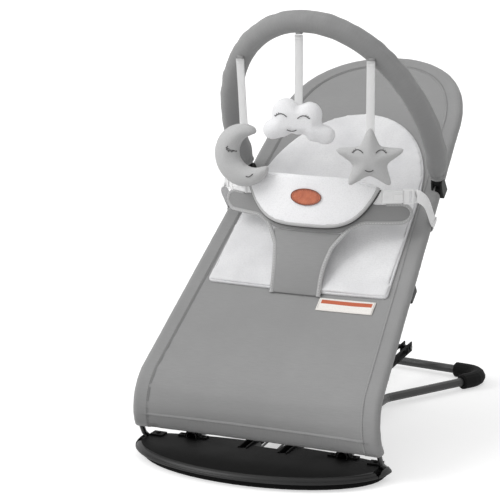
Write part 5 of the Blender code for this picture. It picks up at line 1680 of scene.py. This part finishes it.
def sewn_face(toy, eyes, mouth, size):
    """A sleeping face: two closed lids with lashes on their outer halves, and a small smile.

    An eye is its centre, the rise of its lid as a share of its half width, and the side its lashes
    are on. The mouth is its centre, its half width and its drop.
    """
    shape = bmesh.new()
    for (u, v), rise, outer in eyes:
        toy.sewn_line(shape, arc_points((u, v), size, rise * size))
        for lash in (0.35, 0.7, 1.0):
            reach = outer * lash
            start = (u + size * reach, v + rise * size * (1 - reach * reach))
            end = (start[0] + outer * size * 0.12, start[1] + math.copysign(size * 0.2, rise))
            middle = ((start[0] + end[0]) / 2, (start[1] + end[1]) / 2)
            toy.sewn_line(shape, [start, middle, end], lash_radius)
    centre, half, drop = mouth
    toy.sewn_line(shape, arc_points(centre, half, -drop))
    finished(toy.name + "_face", shape, face_thread, toy.name)


def stuffed_depth(u, v, outline):
    """A stuffed section: thin at the seam and full in the middle."""
    depth = min(1, edge_distance(u, v, outline) / (toy_half_thickness * 1.2))
    return toy_seam_depth + (toy_half_thickness - 4.5 * MM) * math.sqrt(1 - (1 - depth) ** 2)


def stuff_outline(toy, outline):
    """A toy sewn from two flat pieces of cloth of the same outline."""
    def depth(u, v):
        return stuffed_depth(u, v, outline)
    toy.stuffed(pillow(outline, toy.place, depth, depth, factors=(1, 0.92, 0.8, 0.6, 0.35)))


def make_star():
    """The star, with two lids and a mouth."""
    low = make_ribbon("star")
    toy = Toy("star", low - Z_AXIS * star_top * star_squash, star_yaw, grey_plush)
    stuff_outline(toy, star_outline())
    sewn_face(toy, (((-18 * MM, 12 * MM), 0.55, -1), ((16 * MM, 12 * MM), 0.55, 1)),
              ((-1 * MM, -13.5 * MM), 6 * MM, 2.6 * MM), 7.5 * MM)


def make_cloud():
    """The cloud, with two lids and a mouth."""
    low = make_ribbon("cloud")
    toy = Toy("cloud", low - Z_AXIS * cloud_top, cloud_yaw, pale_plush)
    stuff_outline(toy, cloud_outline())
    sewn_face(toy, (((-24 * MM, 7.5 * MM), 0.5, -1), ((9.5 * MM, 5.3 * MM), 0.5, 1)),
              ((-8 * MM, -12 * MM), 7 * MM, 2.6 * MM), 8.8 * MM)


def make_moon():
    """A crescent: a stuffed roll between a circle and a smaller one inside it, with closed horns."""
    low = make_ribbon("moon")
    toy = Toy("moon", low - Z_AXIS * moon_top + X_AXIS * moon_slide, moon_yaw, grey_plush)
    rings = []
    for step in range(37):
        share = 2 * step / 36 - 1
        angle = moon_spread * share
        along = -moon_hollow_shift * math.cos(angle)
        inner = along + math.sqrt(moon_hollow_radius ** 2 - (moon_hollow_shift ** 2 - along ** 2))
        close = math.sqrt(1 - 0.96 * max(0, (abs(share) - 0.88) / 0.12) ** 2)  # rounds the horns' ends
        half = (moon_radius - inner) / 2 * close - 0.8 * MM
        depth = min(toy_half_thickness, (moon_radius - inner) / 2) * close * 0.86
        middle = (inner + moon_radius) / 2
        angle += math.pi + moon_tilt
        ring = []
        for spin in circle_turns(14):
            reach = middle + half * math.cos(spin)
            ring.append(toy.place(reach * math.cos(angle), reach * math.sin(angle), -depth * math.sin(spin)))
        rings.append(ring)
    shape = bmesh.new()
    add_tube(shape, rings)
    bmesh.ops.recalc_face_normals(shape, faces=shape.faces)
    toy.stuffed(shape)
    shape = bmesh.new()
    lid = arc_points((-14 * MM, 9 * MM), 8.5 * MM, -2.6 * MM)
    toy.sewn_line(shape, lid)
    for u, v in (lid[2], lid[4], lid[6]):
        lash = [(u - drop * 0.7 * MM, v - drop * MM) for drop in range(3)]
        toy.sewn_line(shape, lash, lash_radius)
    mouth_u = 16 * MM
    smile = arc_points((mouth_u, -27.5 * MM), 5 * MM, -2.6 * MM)
    toy.sewn_line(shape, [(u, v + (u - mouth_u) * 0.4) for u, v in smile])
    finished("moon_face", shape, face_thread, "moon")


# Studio

def make_camera():
    """The camera at the photograph's place, from its azimuth, elevation and distance."""
    back = Vector((math.sin(camera_azimuth) * math.cos(camera_elevation),
                   -math.cos(camera_azimuth) * math.cos(camera_elevation), math.sin(camera_elevation)))
    right = Vector((math.cos(camera_azimuth), math.sin(camera_azimuth), 0))
    up = back.cross(right)
    camera = linked("camera", bpy.data.cameras.new("camera"))
    camera.data.lens = camera_lens
    camera.data.sensor_width = camera_sensor
    camera.data.clip_end = 60
    turn = Matrix((right, up, back)).transposed().to_4x4()
    turn.translation = camera_aim + right * camera_slide + up * camera_rise + back * camera_distance
    camera.matrix_world = turn
    bpy.context.scene.camera = camera


def make_lamp(name, place, spread_angle, power):
    """A soft far lamp that shines from a place towards the object."""
    lamp = linked(name, bpy.data.lights.new(name, "SUN"))
    lamp.data.angle = math.radians(spread_angle)
    lamp.data.energy = power
    lamp.location = place
    lamp.rotation_mode = "QUATERNION"
    lamp.rotation_quaternion = (lamp_aim - Vector(place)).to_track_quat("-Z", "Y")


def seen_directly(tree):
    """1 for rays from the camera, or seen in gloss or through glass."""
    rays = add_node(tree, "ShaderNodeLightPath").outputs
    seen = rays["Is Camera Ray"]
    for name in ("Is Glossy Ray", "Is Transmission Ray"):
        seen = add_node(tree, "ShaderNodeMath", {0: seen, 1: rays[name]}, operation="MAXIMUM").outputs[0]
    return seen


def make_studio():
    """An even sky, seen as plain white, with a soft lamp from the upper left and two weaker ones."""
    world = bpy.data.worlds.new("studio")
    world.use_nodes = True
    bpy.context.scene.world = world
    tree = world.node_tree
    tree.nodes.clear()
    sky = add_node(tree, "ShaderNodeBackground", {"Color": tone(255), "Strength": sky_strength})
    plain = add_node(tree, "ShaderNodeBackground", {"Color": tone(255), "Strength": 1.0})
    inputs = {0: seen_directly(tree), 1: sky.outputs[0], 2: plain.outputs[0]}
    mix = add_node(tree, "ShaderNodeMixShader", inputs)
    add_node(tree, "ShaderNodeOutputWorld", {0: mix.outputs[0]})
    for name, (place, spread_angle, power) in lamps.items():
        make_lamp(name, place, spread_angle, power)
    bpy.context.scene.view_settings.view_transform = "Standard"


def make_floor():
    """A pale floor that glows where it is seen, so that it meets the white background."""
    shape = bmesh.new()
    bmesh.ops.create_grid(shape, x_segments=1, y_segments=1, size=floor_half_width)
    finish = Finish("floor", 0.9, Specular_IOR_Level=0, Base_Color=tone(212), Emission_Color=tone(255))
    finish.link(finish.math("MULTIPLY", seen_directly(finish.tree), floor_glow), "Emission Strength")
    floor = linked("floor", mesh_from("floor", shape))
    floor.data.materials.append(finish.material)


make_camera()
make_studio()
make_floor()
dress_cad_nodes()
make_plate()
cover = make_cover()
make_rim_hem()
make_foot_hem()
make_insert()
make_tag()
make_stem()
make_band()
make_bindings()
make_patch(make_bib())
make_buckles()
make_straps()
make_sleeve()
make_star()
make_cloud()
make_moon()
